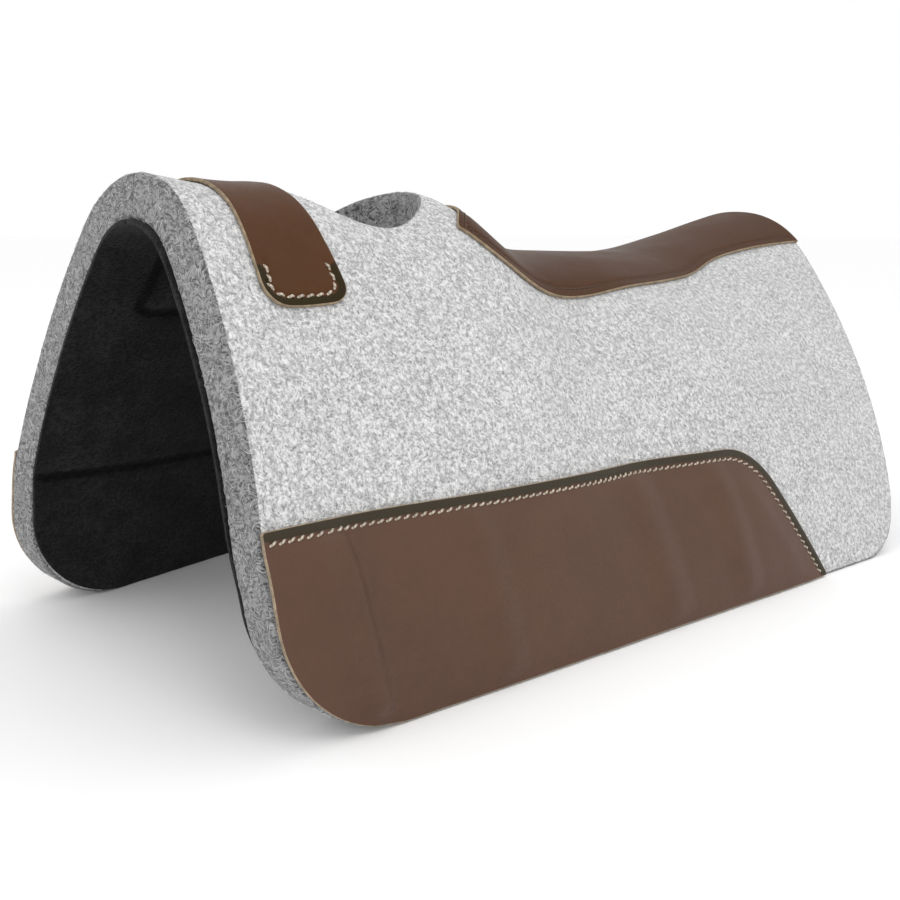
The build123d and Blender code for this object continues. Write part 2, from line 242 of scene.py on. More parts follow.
def node_tree(node):
    """A search tree over a packed part's faces."""
    mesh = frame["nodes"][node].data
    return BVHTree.FromPolygons([v.co for v in mesh.vertices], [p.vertices[:] for p in mesh.polygons])


def fill_ends(values, reach):
    """Fills a line's gaps: straight across inside, and on along the last slope at both ends."""
    known = np.flatnonzero(~np.isnan(values))
    if len(known) < 8:
        return values
    index = np.arange(len(values))
    filled = values.copy()
    inside = (index >= known[0]) & (index <= known[-1])
    filled[inside] = np.interp(index[inside], known, values[known])
    for end, near in ((known[0], known[:6]), (known[-1], known[-6:])):
        slope, level = np.polyfit(near, values[near], 1)
        beyond = (index < end) if end == known[0] else (index > end)
        beyond &= np.abs(index - end) <= reach
        filled[beyond] = level + slope * index[beyond]
    return filled


def blurred(table, sigma, axis):
    """The table smoothed along one axis by a bell curve."""
    half = int(3 * sigma) + 1
    bell = np.exp(-0.5 * (np.arange(-half, half + 1) / sigma) ** 2)
    bell /= bell.sum()
    padding = [(0, 0), (0, 0)]
    padding[axis] = (half, half)
    wide = np.pad(table, padding, mode="reflect", reflect_type="odd")
    return np.apply_along_axis(lambda line: np.convolve(line, bell, mode="valid"), axis, wide)


class Skin:
    """The pad's outer face, from the spine down to the ground, as tables over (y, s)."""

    def __init__(self, node):
        low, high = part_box(node)
        self.ys = np.arange(low[1] - MARGIN_Y, high[1] + MARGIN_Y, SAMPLE_Y)
        angles = np.arange(0.0, LAST_ANGLE, SAMPLE_ANGLE)
        radii = self.cast(node_tree(node), angles)
        radii[:, 0] = radii[:, 1]
        for column in range(len(angles)):
            radii[:, column] = fill_ends(radii[:, column], END_FILL / SAMPLE_Y)
        for row in range(len(self.ys)):
            radii[row] = fill_ends(radii[row], len(angles))
        radii = np.concatenate([radii[:, MIRRORED_ANGLES:0:-1], radii], axis=1)
        radii = blurred(blurred(radii, 2.0, 0), 2.0, 1)[:, MIRRORED_ANGLES:]
        across, up = radii * np.sin(angles), AXIS_HEIGHT + radii * np.cos(angles)
        lines = [self.straightened(a, u) for a, u in zip(across, up)]
        self.x = np.array([line[0] for line in lines])
        self.z = np.array([line[1] for line in lines])
        self.x = blurred(np.concatenate([-self.x[:, MIRRORED_S:0:-1], self.x], axis=1), 1.2, 1)
        self.z = blurred(np.concatenate([self.z[:, MIRRORED_S:0:-1], self.z], axis=1), 1.2, 1)

    def straightened(self, across, up):
        """One arch line as x and z at even steps of s, carried straight on below the ground."""
        above = np.flatnonzero(up > -0.012)
        across, up = across[: above[-1] + 1], up[: above[-1] + 1]
        run = np.concatenate([[0.0], np.cumsum(np.hypot(np.diff(across), np.diff(up)))])
        at = np.arange(0.0, LONGEST_S, SAMPLE_S)
        beyond = np.maximum(at - run[-1], 0.0)
        reach = run[-1] - run[-9]
        x = np.interp(at, run, across) + beyond * (across[-1] - across[-9]) / reach
        z = np.interp(at, run, up) + beyond * (up[-1] - up[-9]) / reach
        return x, z

    def cast(self, tree, angles):
        """Radii of the outer face about the level line, with gaps where there is no face."""
        radii = np.full((len(self.ys), len(angles)), np.nan)
        for row, y in enumerate(self.ys):
            middle = Vector((0.0, y, AXIS_HEIGHT))
            for column, angle in enumerate(angles):
                out = Vector((math.sin(angle), 0.0, math.cos(angle)))
                hit, normal, _, _ = tree.ray_cast(middle + out * REACH, -out)
                if hit is not None and normal.dot(out) > 0.55:
                    radii[row, column] = (hit - middle).length
        return radii

    def look_up(self, s, y):
        """x and z on smooth cubic curves through the tables."""
        column = np.clip(np.abs(s) / SAMPLE_S + MIRRORED_S, 1, self.x.shape[1] - 3)
        row = np.clip((y - self.ys[0]) / SAMPLE_Y, 1, len(self.ys) - 3)
        i, j = np.floor(row).astype(int), np.floor(column).astype(int)
        wi, wj = cubic_weights(row - i), cubic_weights(column - j)
        x, z = 0.0, 0.0
        for a in range(4):
            for b in range(4):
                weight = wi[a] * wj[b]
                x = x + weight * self.x[i + a - 1, j + b - 1]
                z = z + weight * self.z[i + a - 1, j + b - 1]
        return np.where(s < 0, -x, x), z

    def place(self, pattern, lift=0.0):
        """Points of the flat pattern, laid on the face and lifted off it, and the face's normals."""
        s, y = pattern[:, 0], pattern[:, 1]
        step = 0.0015
        point = self.on_face(s, y)
        over = self.on_face(s + step, y) - self.on_face(s - step, y)
        along = self.on_face(s, y + step) - self.on_face(s, y - step)
        normal = np.cross(over, along)
        normal /= np.linalg.norm(normal, axis=1)[:, None]
        return point + normal * np.reshape(lift, (-1, 1)), normal

    def on_face(self, s, y):
        x, z = self.look_up(s, y)
        return np.stack([x, np.broadcast_to(y, x.shape), z], axis=1)

    def s_at(self, y, value, pick, lift=0.0):
        """How far down the arch the face, lifted, reaches a width or a height."""
        tries = np.linspace(0.0, (self.x.shape[1] - MIRRORED_S - 3) * SAMPLE_S, 260)
        answer = []
        for one_y, one_value in zip(np.atleast_1d(y), np.atleast_1d(value)):
            points, _ = self.place(np.stack([tries, np.full_like(tries, one_y)], axis=1), lift)
            rising = -1.0 if pick == HEIGHT else 1.0
            answer.append(np.interp(rising * one_value, rising * points[:, pick], tries))
        return np.array(answer)


def cubic_weights(t):
    return (
        -0.5 * t + t**2 - 0.5 * t**3,
        1 - 2.5 * t**2 + 1.5 * t**3,
        0.5 * t + 2 * t**2 - 1.5 * t**3,
        -0.5 * t**2 + 0.5 * t**3,
    )


def plumb(pattern, lift):
    """The pattern moved so that points at this lift stand straight below their outer points."""
    outer = SKIN.on_face(pattern[:, 0], pattern[:, 1])[:, 0]
    moved = pattern.copy()
    for _ in range(5):
        point, normal = SKIN.place(moved, lift)
        moved[:, 0] += (outer - point[:, 0]) / np.maximum(normal[:, 2], 0.4)
    return moved


SKIN = Skin("left_felt_panel")
FRONT_Y, REAR_Y = CAD_BOX[0][1], CAD_BOX[1][1]


# ---------------------------------------------------------------- flat patterns, as (s, y)
def mirrored(line):
    return line * (-1, 1)


def arc_run(line):
    """How far along the line each of its points is."""
    return np.concatenate([[0.0], np.cumsum(np.linalg.norm(np.diff(line, axis=0), axis=1))])


def points_at(line, run, at):
    return np.stack([np.interp(at, run, line[:, k]) for k in (0, 1)], axis=1)


def on_arch(y, value, pick, lift=0.0):
    """Flat points for places known by their y and their width or height on the face."""
    return np.stack([SKIN.s_at(y, value, pick, lift), y], axis=1)


def circle_through(first, middle, last):
    """Centre and radius of the circle through three points."""
    a = 2 * np.array([np.subtract(middle, first), np.subtract(last, first)])
    squares = [np.dot(p, p) for p in (first, middle, last)]
    centre = np.linalg.solve(a, [squares[1] - squares[0], squares[2] - squares[0]])
    return centre, math.dist(centre, first)


def front_edge(z, inset, o):
    """y of the felt's front edge at a height: corner, upright stretch and leaning stretch."""
    first = FRONT_Y + inset
    start = (first, o.lean_start)
    middle = (first + o.lean_middle, o.lean_middle_height)
    top = (first + o.lip_setback, CAD_BOX[1][2])
    centre, radius = circle_through(start, middle, top)
    side = 1.0 if centre[0] < middle[0] else -1.0
    lean = centre[0] + side * np.sqrt(np.maximum(radius**2 - (z - centre[1]) ** 2, 0.0))
    y = np.where(z > o.lean_start, lean, first)
    corner = o.front_corner - inset
    below = np.clip(corner + inset - z, 0.0, corner)
    return y + corner - np.sqrt(corner**2 - below**2)


def rear_edge(z, inset, o):
    """y of the felt's rear edge at a height."""
    last = REAR_Y - inset
    foot = (last - o.rear_foot, 0.0)
    middle = (last - o.rear_middle, o.rear_middle_height)
    top = (last, float(SKIN.place(np.array([[0.0, REAR_Y]]))[0][0, 2]))
    centre, radius = circle_through(foot, middle, top)
    side = 1.0 if centre[0] < middle[0] else -1.0
    y = centre[0] + side * np.sqrt(np.maximum(radius**2 - (z - centre[1]) ** 2, 0.0))
    corner = o.rear_corner - inset
    lean = math.atan((middle[0] - foot[0]) / middle[1])
    centre_y = foot[0] + corner * math.tan(lean) - corner / math.cos(lean)
    height = z - inset
    rounded = centre_y + np.sqrt(np.maximum(corner**2 - (corner - height) ** 2, 0.0))
    return np.where(height < corner * (1 - math.sin(lean)), rounded, y)


def edge_on_arch(edge, inset, lift, o, start, count=60):
    """A side-view edge laid over the arch, from the spine down to the ground."""
    s = np.linspace(0.0, HALF_ARCH, count)
    y = np.full(count, start)
    for _ in range(30):
        heights = SKIN.place(np.stack([s, y], axis=1), lift)[0][:, 2]
        y = 0.5 * y + 0.5 * edge(np.clip(heights, inset, None), inset, o)
    upper = np.stack([s, y], axis=1)[heights > FLANK_HEIGHT]
    z = inset + (FLANK_HEIGHT - inset) * np.linspace(1.0, 0.0, count) ** 2
    y = edge(z, inset, o)
    return np.concatenate([upper, on_arch(y, z, HEIGHT, lift)[1:]])


def evenly_spaced(points, spacing):
    loop = np.concatenate([points, points[:1]])
    run = arc_run(loop)
    count = max(int(run[-1] / spacing), 8)
    at = np.arange(count) * run[-1] / count
    return points_at(loop, run, at)


def resampled(points, spacing):
    """The closed line again, with evenly spaced points and its sharp corners just eased."""
    line = evenly_spaced(points, spacing)
    for _ in range(3):
        line = (np.roll(line, 1, axis=0) + 2 * line + np.roll(line, -1, axis=0)) / 4
    return evenly_spaced(line, spacing)


def with_corners(stretches, spacing):
    """Joins open stretches into one closed line, keeping the corners between them sharp."""
    pieces = []
    for stretch in stretches:
        run = arc_run(stretch)
        count = max(int(round(run[-1] / spacing)), 1)
        pieces.append(points_at(stretch, run, np.arange(count) * run[-1] / count))
    return np.concatenate(pieces)


def signed_area(points):
    s, y = points[:, 0], points[:, 1]
    return float(0.5 * np.sum(s * np.roll(y, -1) - np.roll(s, -1) * y))


def counter_clockwise(points):
    return points if signed_area(points) > 0 else points[::-1]


def rounded_corner(before, corner, after, radius, count=14):
    """Points of an arc that rounds one corner of a flat outline."""
    before, corner, after = (np.array(p, float) for p in (before, corner, after))
    u, v = before - corner, after - corner
    u, v = u / np.linalg.norm(u), v / np.linalg.norm(v)
    half = math.acos(np.clip(np.dot(u, v), -1, 1)) / 2
    centre = corner + (u + v) / np.linalg.norm(u + v) * radius / math.sin(half)
    start, end = corner + u * radius / math.tan(half), corner + v * radius / math.tan(half)
    a, b = (math.atan2(*(p - centre)[::-1]) for p in (start, end))
    b += 2 * math.pi * round((a - b) / (2 * math.pi))
    turn = np.linspace(a, b, count)
    return centre + radius * np.stack([np.cos(turn), np.sin(turn)], axis=1)


def hole_middle(o):
    return STRAP_HIGH[1] + o.strap_to_hole + o.hole_length / 2


def felt_pattern(o, inset, lift, spacing):
    """Outline of the left felt half or its lining, from the spine seam round to the spine again."""
    front = edge_on_arch(front_edge, inset, lift, o, FRONT_Y + inset + 0.02)
    rear = edge_on_arch(rear_edge, inset, lift, o, REAR_Y - 0.05)
    y = np.linspace(front[-1, 1], rear[-1, 1], 60)
    bottom = on_arch(y, np.full(60, inset), HEIGHT, lift)
    half_width, half_length = o.hole_width / 2 + inset, o.hole_length / 2 + inset
    turn = np.linspace(math.pi / 2, -math.pi / 2, 50)
    hole = on_arch(hole_middle(o) + half_length * np.sin(turn), half_width * np.cos(turn), WIDTH)
    hole[0, 0] = hole[-1, 0] = 0.0
    rear_seam = np.array([[0.0, rear[0, 1]], [0.0, hole[0, 1]]])
    front_seam = np.array([[0.0, hole[-1, 1]], [0.0, front[0, 1]]])
    stretches = [front, bottom, rear[::-1], rear_seam, hole, front_seam]
    return counter_clockwise(with_corners(stretches, spacing))


def wear_side_outline(inset, leather):
    """The wear leather's border in side view, from the front round the rear corner to the ground."""
    rear_top = (WEAR_HIGH[1] - leather.wear_rake - inset, leather.wear_rear_height - inset)
    rear_foot = (WEAR_HIGH[1] - inset, 0.0)
    front_top = (WEAR_LOW[1], WEAR_HIGH[2] - inset)
    corner = rounded_corner(front_top, rear_top, rear_foot, leather.wear_corner - inset)
    return front_top, corner, rear_foot


def wear_pattern(o, leather, spacing):
    front_top, corner, rear_foot = wear_side_outline(0.0, leather)
    setback = WEAR_LOW[1] - FRONT_Y
    z = np.linspace(front_top[1], setback, 40)
    front = np.stack([front_edge(z, setback, o), z], axis=1)
    top = np.concatenate([[front_top], corner])
    rear = np.array([corner[-1], (rear_foot[0] - setback * 0.3, setback)])
    bottom = np.array([rear[-1], front[-1]])
    outline = np.concatenate([densified(line, 0.004)[:-1] for line in (front[::-1], top, rear, bottom)])
    return counter_clockwise(resampled(on_arch(outline[:, 0], outline[:, 1], HEIGHT), spacing))


def densified(line, spacing):
    line = np.asarray(line, float)
    run = arc_run(line)
    return points_at(line, run, np.linspace(0.0, run[-1], max(int(run[-1] / spacing), 1) + 1))


def strap_end():
    middle = (STRAP_LOW[1] + STRAP_HIGH[1]) / 2
    return float(SKIN.s_at(middle, STRAP_LOW[2], HEIGHT)[0])


def strap_front(s, leather, inset=0.0):
    """y of the strap's front edge, which stands further back the higher up the arch it is."""
    height = SKIN.place(np.stack([s, np.full_like(s, STRAP_LOW[1])], axis=1))[0][:, 2]
    share = (height - STRAP_LOW[2]) / (STRAP_HIGH[2] - STRAP_LOW[2])
    return STRAP_LOW[1] + inset + leather.strap_setback * np.clip(share, 0.0, 1.0)


def strap_pattern(leather, spacing):
    end, radius = strap_end(), leather.strap_corner
    low, high = STRAP_LOW[1], STRAP_HIGH[1]
    front = np.linspace(-end + radius, end - radius, 80)
    front = np.stack([front, strap_front(front, leather)], axis=1)
    right = rounded_corner(front[-1], (end, low), (end, high), radius * 0.98)
    back = rounded_corner((end, low), (end, high), (-end, high), radius)
    line = np.concatenate([front[1:-1], right, back, mirrored(np.concatenate([right, back]))[::-1]])
    return counter_clockwise(resampled(line, spacing))


def smooth_line(points, count=24):
    """A smooth cubic line through given points."""
    points = np.asarray(points, float)
    ends = np.concatenate([[2 * points[0] - points[1]], points, [2 * points[-1] - points[-2]]])
    line = []
    weights = cubic_weights(np.linspace(0.0, 1.0, count, endpoint=False))
    for k in range(len(points) - 1):
        line.append(sum(weights[m][:, None] * ends[k + m] for m in range(4)))
    return np.concatenate(line + [points[-1:]])


def spine_border(leather, inset, o):
    """Plan border, as (x, y), of the spine leather's left half, from the spine round to the tail."""
    front = hole_middle(o) + o.hole_length / 2 + leather.spine_gap
    horn_y = front - leather.scoop + inset * 1.2
    horn_x = leather.horn
    widest = SPINE_HIGH[0] - 0.0015 - inset
    rear = SPINE_HIGH[1] - inset * 0.6
    scoop = [(0.0, front + inset), (horn_x * 0.6, front - leather.scoop * 0.36 + inset), (horn_x, horn_y)]
    side = [
        (horn_x, horn_y),
        (horn_x + (widest - horn_x) * 0.62, horn_y + leather.seat_setback * 0.30),
        (widest, horn_y + leather.seat_setback),
        ((widest + leather.waist - inset) / 2 + 0.003, (horn_y + leather.seat_setback + rear) / 2 - 0.045),
        (leather.waist - inset, rear - leather.waist_setback),
        (leather.tail - inset, rear),
    ]
    return smooth_line(scoop), smooth_line(side)


def rear_line(half_width, inset, o, count=30):
    """The spine leather's rear edge, from its left end to the spine, flush with the felt."""
    edge = edge_on_arch(rear_edge, inset, 0.0, o, REAR_Y - 0.05, 120)
    x, _ = SKIN.look_up(edge[:, 0], edge[:, 1])
    keep = np.linspace(half_width, 0.0, count)
    return np.stack([np.interp(keep, x, edge[:, 0]), np.interp(keep, x, edge[:, 1])], axis=1)


def spine_pattern(leather, o, spacing):
    scoop, side = spine_border(leather, 0.0, o)
    rear = rear_line(leather.tail, 0.001, o)
    side = side[side[:, 1] < rear[0, 1] - 0.001]
    scoop, side = (on_arch(line[:, 1], line[:, 0], WIDTH) for line in (scoop, side))
    scoop[0, 0] = rear[-1, 0] = 0.0
    left = np.concatenate([scoop, side[1:], rear])
    return counter_clockwise(resampled(np.concatenate([left[:-1], mirrored(left[::-1])[:-1]]), spacing))


# ---------------------------------------------------------------- shells
def line_distance(points, line, closed=False):
    """Distance from each point to a broken line."""
    ends = np.roll(line, -1, axis=0) if closed else line[1:]
    starts = line if closed else line[:-1]
    best = np.full(len(points), np.inf)
    for a, b in zip(starts, ends):
        along = b - a
        t = np.clip((points - a) @ along / max(along @ along, 1e-12), 0.0, 1.0)
        best = np.minimum(best, np.linalg.norm(points - a - t[:, None] * along, axis=1))
    return best


def inside(points, border):
    """Whether each point is inside a closed border."""
    found = np.zeros(len(points), bool)
    for a, b in zip(border, np.roll(border, -1, axis=0)):
        crosses = (a[1] > points[:, 1]) != (b[1] > points[:, 1])
        if a[1] != b[1]:
            at = a[0] + (points[:, 1] - a[1]) / (b[1] - a[1]) * (b[0] - a[0])
            found ^= crosses & (points[:, 0] < at)
    return found


def inset_line(border, distance):
    """The closed border moved inwards. It runs anticlockwise, so inwards is to the left."""
    ahead = np.roll(border, -1, axis=0) - border
    ahead /= np.linalg.norm(ahead, axis=1)[:, None]
    behind = np.roll(ahead, 1, axis=0)
    normals = np.stack([-(ahead + behind)[:, 1], (ahead + behind)[:, 0]], axis=1)
    size = np.linalg.norm(normals, axis=1)[:, None]
    normals /= size
    stretch = np.clip(2.0 / size, 1.0, 1.45)
    return border + normals * stretch * distance


def grid_points(border, spacing, near, far):
    """Points of a triangular grid that lie between two distances inside the border."""
    low, high = border.min(axis=0), border.max(axis=0)
    rows = np.arange(low[1], high[1], spacing * math.sqrt(3) / 2)
    columns = np.arange(low[0], high[0], spacing)
    s, y = np.meshgrid(columns, rows)
    s = s + (np.arange(len(rows)) % 2)[:, None] * spacing / 2
    points = np.stack([s.ravel(), y.ravel()], axis=1)
    points = points[inside(points, border)]
    distance = line_distance(points, border, closed=True)
    return points[(distance > near) & (distance <= far)]


def triangulated(border, points):
    """Triangles over the border's points and the points inside it, numbered in that order."""
    count = len(border)
    every = [Vector(p) for p in np.concatenate([border, points])]
    edges = [(k, (k + 1) % count) for k in range(count)]
    _, _, faces, came_from, _, _ = delaunay_2d_cdt(every, edges, [], 1, 1e-7)
    triangles = np.array([[came_from[corner][0] for corner in face] for face in faces])
    flat = np.concatenate([border, points])
    a, b, c = (flat[triangles[:, k]] for k in range(3))
    turned = (b[:, 0] - a[:, 0]) * (c[:, 1] - a[:, 1]) - (b[:, 1] - a[:, 1]) * (c[:, 0] - a[:, 0]) < 0
    triangles[turned] = triangles[turned][:, ::-1]
    return triangles


ROUND_STEPS = (0.0, 30.0, 60.0, 90.0)


def shell(
    name, border, top, thickness, radius, spacing,
    fine=None, wall_rows=1, relief=None, upright=None, mark=None,
):
    """A closed layer cut to the border, from its top lift down through its thickness.

    Both faces get their edges rounded over. relief(pattern, edge distance, top) gives how far
    points of a face move along its normal. Where upright(pattern) is 1 the wall stands straight
    up and down, and where it is 0 it is square to the face. The vertices keep whether they are
    on the cut wall, as cut, and what mark, a name and a measure of the pattern, says of them.
    """
    rounds = [math.radians(angle) for angle in ROUND_STEPS]
    insets = [radius * (1 - math.cos(angle)) for angle in rounds]
    drops = [radius * (1 - math.sin(angle)) for angle in rounds]
    core = inset_line(border, insets[-1])
    near = radius * 1.2
    if fine is None:
        points = grid_points(border, spacing, near + spacing * 0.6, np.inf)
    else:
        fine_spacing, band = fine
        close = grid_points(border, fine_spacing, near + fine_spacing * 0.7, band)
        wide = grid_points(border, spacing, band + fine_spacing, np.inf)
        points = np.concatenate([close, wide])
    triangles = triangulated(core, points)
    flat = np.concatenate([core, points])
    edge = line_distance(flat, border, closed=True)
    count, ring = len(flat), len(border)

    rings = [(inset_line(border, i), top - d, 0.0) for i, d in zip(insets[-2::-1], drops[-2::-1])]
    span = thickness - 2 * radius
    for row in range(1, wall_rows):
        rings.append((border, top - radius - span * row / wall_rows, 1.0))
    rings += [(inset_line(border, i), top - thickness + d, 0.0) for i, d in zip(insets[:-1], drops[:-1])]

    patterns = [flat] + [r[0] for r in rings] + [flat]
    lifts = [np.full(count, top)] + [np.full(ring, r[1]) for r in rings] + [np.full(count, top - thickness)]
    if relief is not None:
        lifts[0] = lifts[0] + relief(flat, edge, True)
        lifts[-1] = lifts[-1] + relief(flat, edge, False)
        for k, (line, _, _) in enumerate(rings):
            near_top = k < len(insets) - 1
            near_bottom = k >= len(rings) - len(insets) + 1
            if near_top or near_bottom:
                lifts[k + 1] = lifts[k + 1] + relief(line, np.zeros(ring), near_top)
    pattern, lift = np.concatenate(patterns), np.concatenate(lifts)
    if upright is not None:
        weight = upright(pattern)
        near = weight > 0
        share = weight[near][:, None]
        pattern[near] = pattern[near] * (1 - share) + plumb(pattern[near], lift[near]) * share
    placed, _ = SKIN.place(pattern, lift)
    placed[:, 2] = np.maximum(placed[:, 2], 0.0)

    starts = [0] + [count + k * ring for k in range(len(rings))] + [count + len(rings) * ring]
    here = np.arange(ring)
    ahead = np.roll(here, -1)
    polygons = triangles.tolist()
    for upper, lower in zip(starts[:-1], starts[1:]):
        quads = np.stack([lower + here, lower + ahead, upper + ahead, upper + here], axis=1)
        polygons += quads.tolist()
    polygons += (triangles[:, ::-1] + starts[-1]).tolist()

    wall = [np.zeros(count)] + [np.ones(ring)] * len(rings) + [np.zeros(count)]
    obj = mesh_object(name, placed, polygons)
    add_attribute(obj, "cut", np.concatenate(wall))
    if mark is not None:
        label, measure = mark
        add_attribute(obj, label, measure(np.concatenate(patterns)))
    return obj


def mesh_object(name, points, polygons):
    mesh = bpy.data.meshes.new(name)
    mesh.from_pydata([tuple(p) for p in points], [], polygons)
    mesh.polygons.foreach_set("use_smooth", [True] * len(mesh.polygons))
    mesh.update()
    obj = bpy.data.objects.new(name, mesh)
    bpy.context.scene.collection.objects.link(obj)
    return obj


def add_attribute(obj, name, values, kind="FLOAT"):
    attribute = obj.data.attributes.new(name, kind, "POINT")
    key = "vector" if kind == "FLOAT_VECTOR" else "value"
    attribute.data.foreach_set(key, np.asarray(values, float).ravel())


# ---------------------------------------------------------------- node helpers
def new_group(name, kind, inputs, outputs):
    """A node group with named sockets, its input node's sockets and its output node."""
    tree = bpy.data.node_groups.new(name, kind)
    for label, (socket, *default) in inputs.items():
        made = tree.interface.new_socket(label, in_out="INPUT", socket_type="NodeSocket" + socket)
        if default:
            made.default_value = default[0]
    for label, socket in outputs.items():
        tree.interface.new_socket(label, in_out="OUTPUT", socket_type="NodeSocket" + socket)
    return tree, tree.nodes.new("NodeGroupInput").outputs, tree.nodes.new("NodeGroupOutput")


def plug(tree, made, **inputs):
    """Sets or links a node's inputs. Their names use _ for a space, and _0 is the first one."""
    for key, value in inputs.items():
        socket = made.inputs[int(key[1:])] if key[0] == "_" else made.inputs[key.replace("_", " ")]
        if isinstance(value, bpy.types.NodeSocket):
            tree.links.new(value, socket)
        elif socket.type == "RGBA" and len(value) == 3:
            socket.default_value = (*value, 1.0)
        else:
            socket.default_value = value


def node(tree, kind, settings=None, **inputs):
    made = tree.nodes.new(kind)
    for key, value in (settings or {}).items():
        setattr(made, key, value)
    plug(tree, made, **inputs)
    return made


def math_node(tree, operation, first, second=0.5, third=0.5, clamp=False):
    settings = {"operation": operation, "use_clamp": clamp}
    return node(tree, "ShaderNodeMath", settings, _0=first, _1=second, _2=third).outputs[0]


def times(tree, first, second):
    return math_node(tree, "MULTIPLY", first, second)


def times_plus(tree, first, second, third, clamp=False):
    return math_node(tree, "MULTIPLY_ADD", first, second, third, clamp)


def vector_math(tree, operation, first, **inputs):
    return node(tree, "ShaderNodeVectorMath", {"operation": operation}, _0=first, **inputs).outputs[0]


def ramp(tree, value, low, high, to_low=0.0, to_high=1.0, smooth=True):
    """The value mapped from one range to another, and held to it."""
    return node(
        tree, "ShaderNodeMapRange", {"interpolation_type": "SMOOTHSTEP" if smooth else "LINEAR"},
        Value=value, From_Min=low, From_Max=high, To_Min=to_low, To_Max=to_high,
    ).outputs[0]


def mixed(tree, factor, first, second, blend="MIX"):
    settings = {"data_type": "RGBA", "blend_type": blend, "clamp_factor": True}
    return node(tree, "ShaderNodeMix", settings, _0=factor, _6=first, _7=second).outputs[2]


def noise(tree, vector, scale, detail=2.0, roughness=0.5, output=0):
    return node(
        tree, "ShaderNodeTexNoise", None, Vector=vector, Scale=scale, Detail=detail, Roughness=roughness
    ).outputs[output]


def wandering(tree, vector, scale, amount):
    """The vector pushed about by a soft noise, so straight streaks wander."""
    wander = noise(tree, vector, scale, 1.0, output="Color")
    centred = vector_math(tree, "SUBTRACT", wander, _1=(0.5, 0.5, 0.5))
    return vector_math(tree, "ADD", vector, _1=vector_math(tree, "SCALE", centred, Scale=amount))


def attribute(tree, name):
    return node(tree, "ShaderNodeAttribute", {"attribute_name": name}).outputs["Fac"]


# ---------------------------------------------------------------- shader groups
def felt_group():
    """Matted wool: salt and pepper speckle with curved strokes of light and dark fibre."""
    tree, start, end = new_group("Felt Fibres", "ShaderNodeTree", {
        "Vector": ("Vector",), "Light": ("Color", (0.7, 0.7, 0.7, 1.0)),
        "Dark": ("Color", (0.3, 0.3, 0.3, 1.0)), "Strokes": ("Float", 0.5),
    }, {"Color": "Color", "Height": "Float"})
    vector, strokes = start["Vector"], start["Strokes"]
    coarse = noise(tree, vector, 300.0, 2.0, 0.7)
    fine = noise(tree, vector, 700.0, 2.0, 0.6)
    cloud = noise(tree, vector, 22.0, 2.0, 0.5)
    bent = wandering(tree, vector, 70.0, 0.022)
    for index, turn in enumerate(((0.2, 0.5, 0.9), (1.3, 0.3, 2.1), (2.2, 1.2, 0.4), (0.8, 2.3, 1.5))):
        streak = node(
            tree, "ShaderNodeMapping", None,
            Vector=bent, Rotation=turn, Scale=(95.0, 640.0, 640.0), Location=(index * 7.3, 0.0, 0.0),
        ).outputs[0]
        value = noise(tree, streak, 1.0, 1.0, 0.5)
        high, low = ramp(tree, value, 0.60, 0.70), ramp(tree, value, 0.40, 0.30)
        light_strokes = math_node(tree, "MAXIMUM", light_strokes, high) if index else high
        dark_strokes = math_node(tree, "MAXIMUM", dark_strokes, low) if index else low
    grain = ramp(tree, fine, 0.35, 0.65)
    base = times_plus(tree, ramp(tree, coarse, 0.40, 0.62), 0.46, 0.14)
    base = times_plus(tree, grain, 0.26, base)
    base = times_plus(tree, cloud, 0.16, base)
    base = math_node(tree, "ADD", base, times(tree, light_strokes, strokes))
    base = math_node(tree, "SUBTRACT", base, times(tree, dark_strokes, strokes), clamp=True)
    height = times_plus(tree, base, 0.7, times(tree, grain, 0.3))
    plug(tree, end, Color=mixed(tree, base, start["Dark"], start["Light"]), Height=height)
    return tree


def leather_group():
    """Oiled leather: pebbled grain, pull-up mottling and fine wrinkles."""
    tree, start, end = new_group("Leather Grain", "ShaderNodeTree", {
        "Vector": ("Vector",), "Base": ("Color", (0.1, 0.05, 0.03, 1.0)),
        "Grain Scale": ("Float", 620.0), "Mottle": ("Float", 0.5),
    }, {"Color": "Color", "Roughness": "Float", "Height": "Float"})
    vector, base = start["Vector"], start["Base"]
    cells = node(
        tree, "ShaderNodeTexVoronoi", {"feature": "DISTANCE_TO_EDGE"},
        Vector=wandering(tree, vector, 180.0, 0.0022), Scale=start["Grain Scale"], Randomness=1.0,
    ).outputs["Distance"]
    pebble = ramp(tree, cells, 0.0, 0.22)
    wrinkle = noise(tree, vector, 75.0, 4.0, 0.6)
    mottle = noise(tree, vector, 16.0, 3.0, 0.6)
    patch = noise(tree, vector, 5.0, 1.0, 0.5)
    shade = times_plus(tree, ramp(tree, mottle, 0.3, 0.7), 0.35, ramp(tree, patch, 0.3, 0.7, 0.0, 0.3))
    shade = times_plus(tree, ramp(tree, wrinkle, 0.35, 0.7), 0.20, shade)
    shade = times_plus(tree, pebble, 0.15, shade)
    dark = mixed(tree, 1.0, base, (0.62, 0.60, 0.58), "MULTIPLY")
    light = mixed(tree, 1.0, base, (1.42, 1.36, 1.30), "MULTIPLY")
    factor = times_plus(tree, math_node(tree, "SUBTRACT", shade, 0.5), start["Mottle"], 0.5, clamp=True)
    plug(
        tree, end, Color=mixed(tree, factor, dark, light),
        Roughness=ramp(tree, shade, 0.0, 1.0, 0.30, 0.46, False),
        Height=times_plus(tree, wrinkle, 0.8, times(tree, pebble, 0.45)),
    )
    return tree


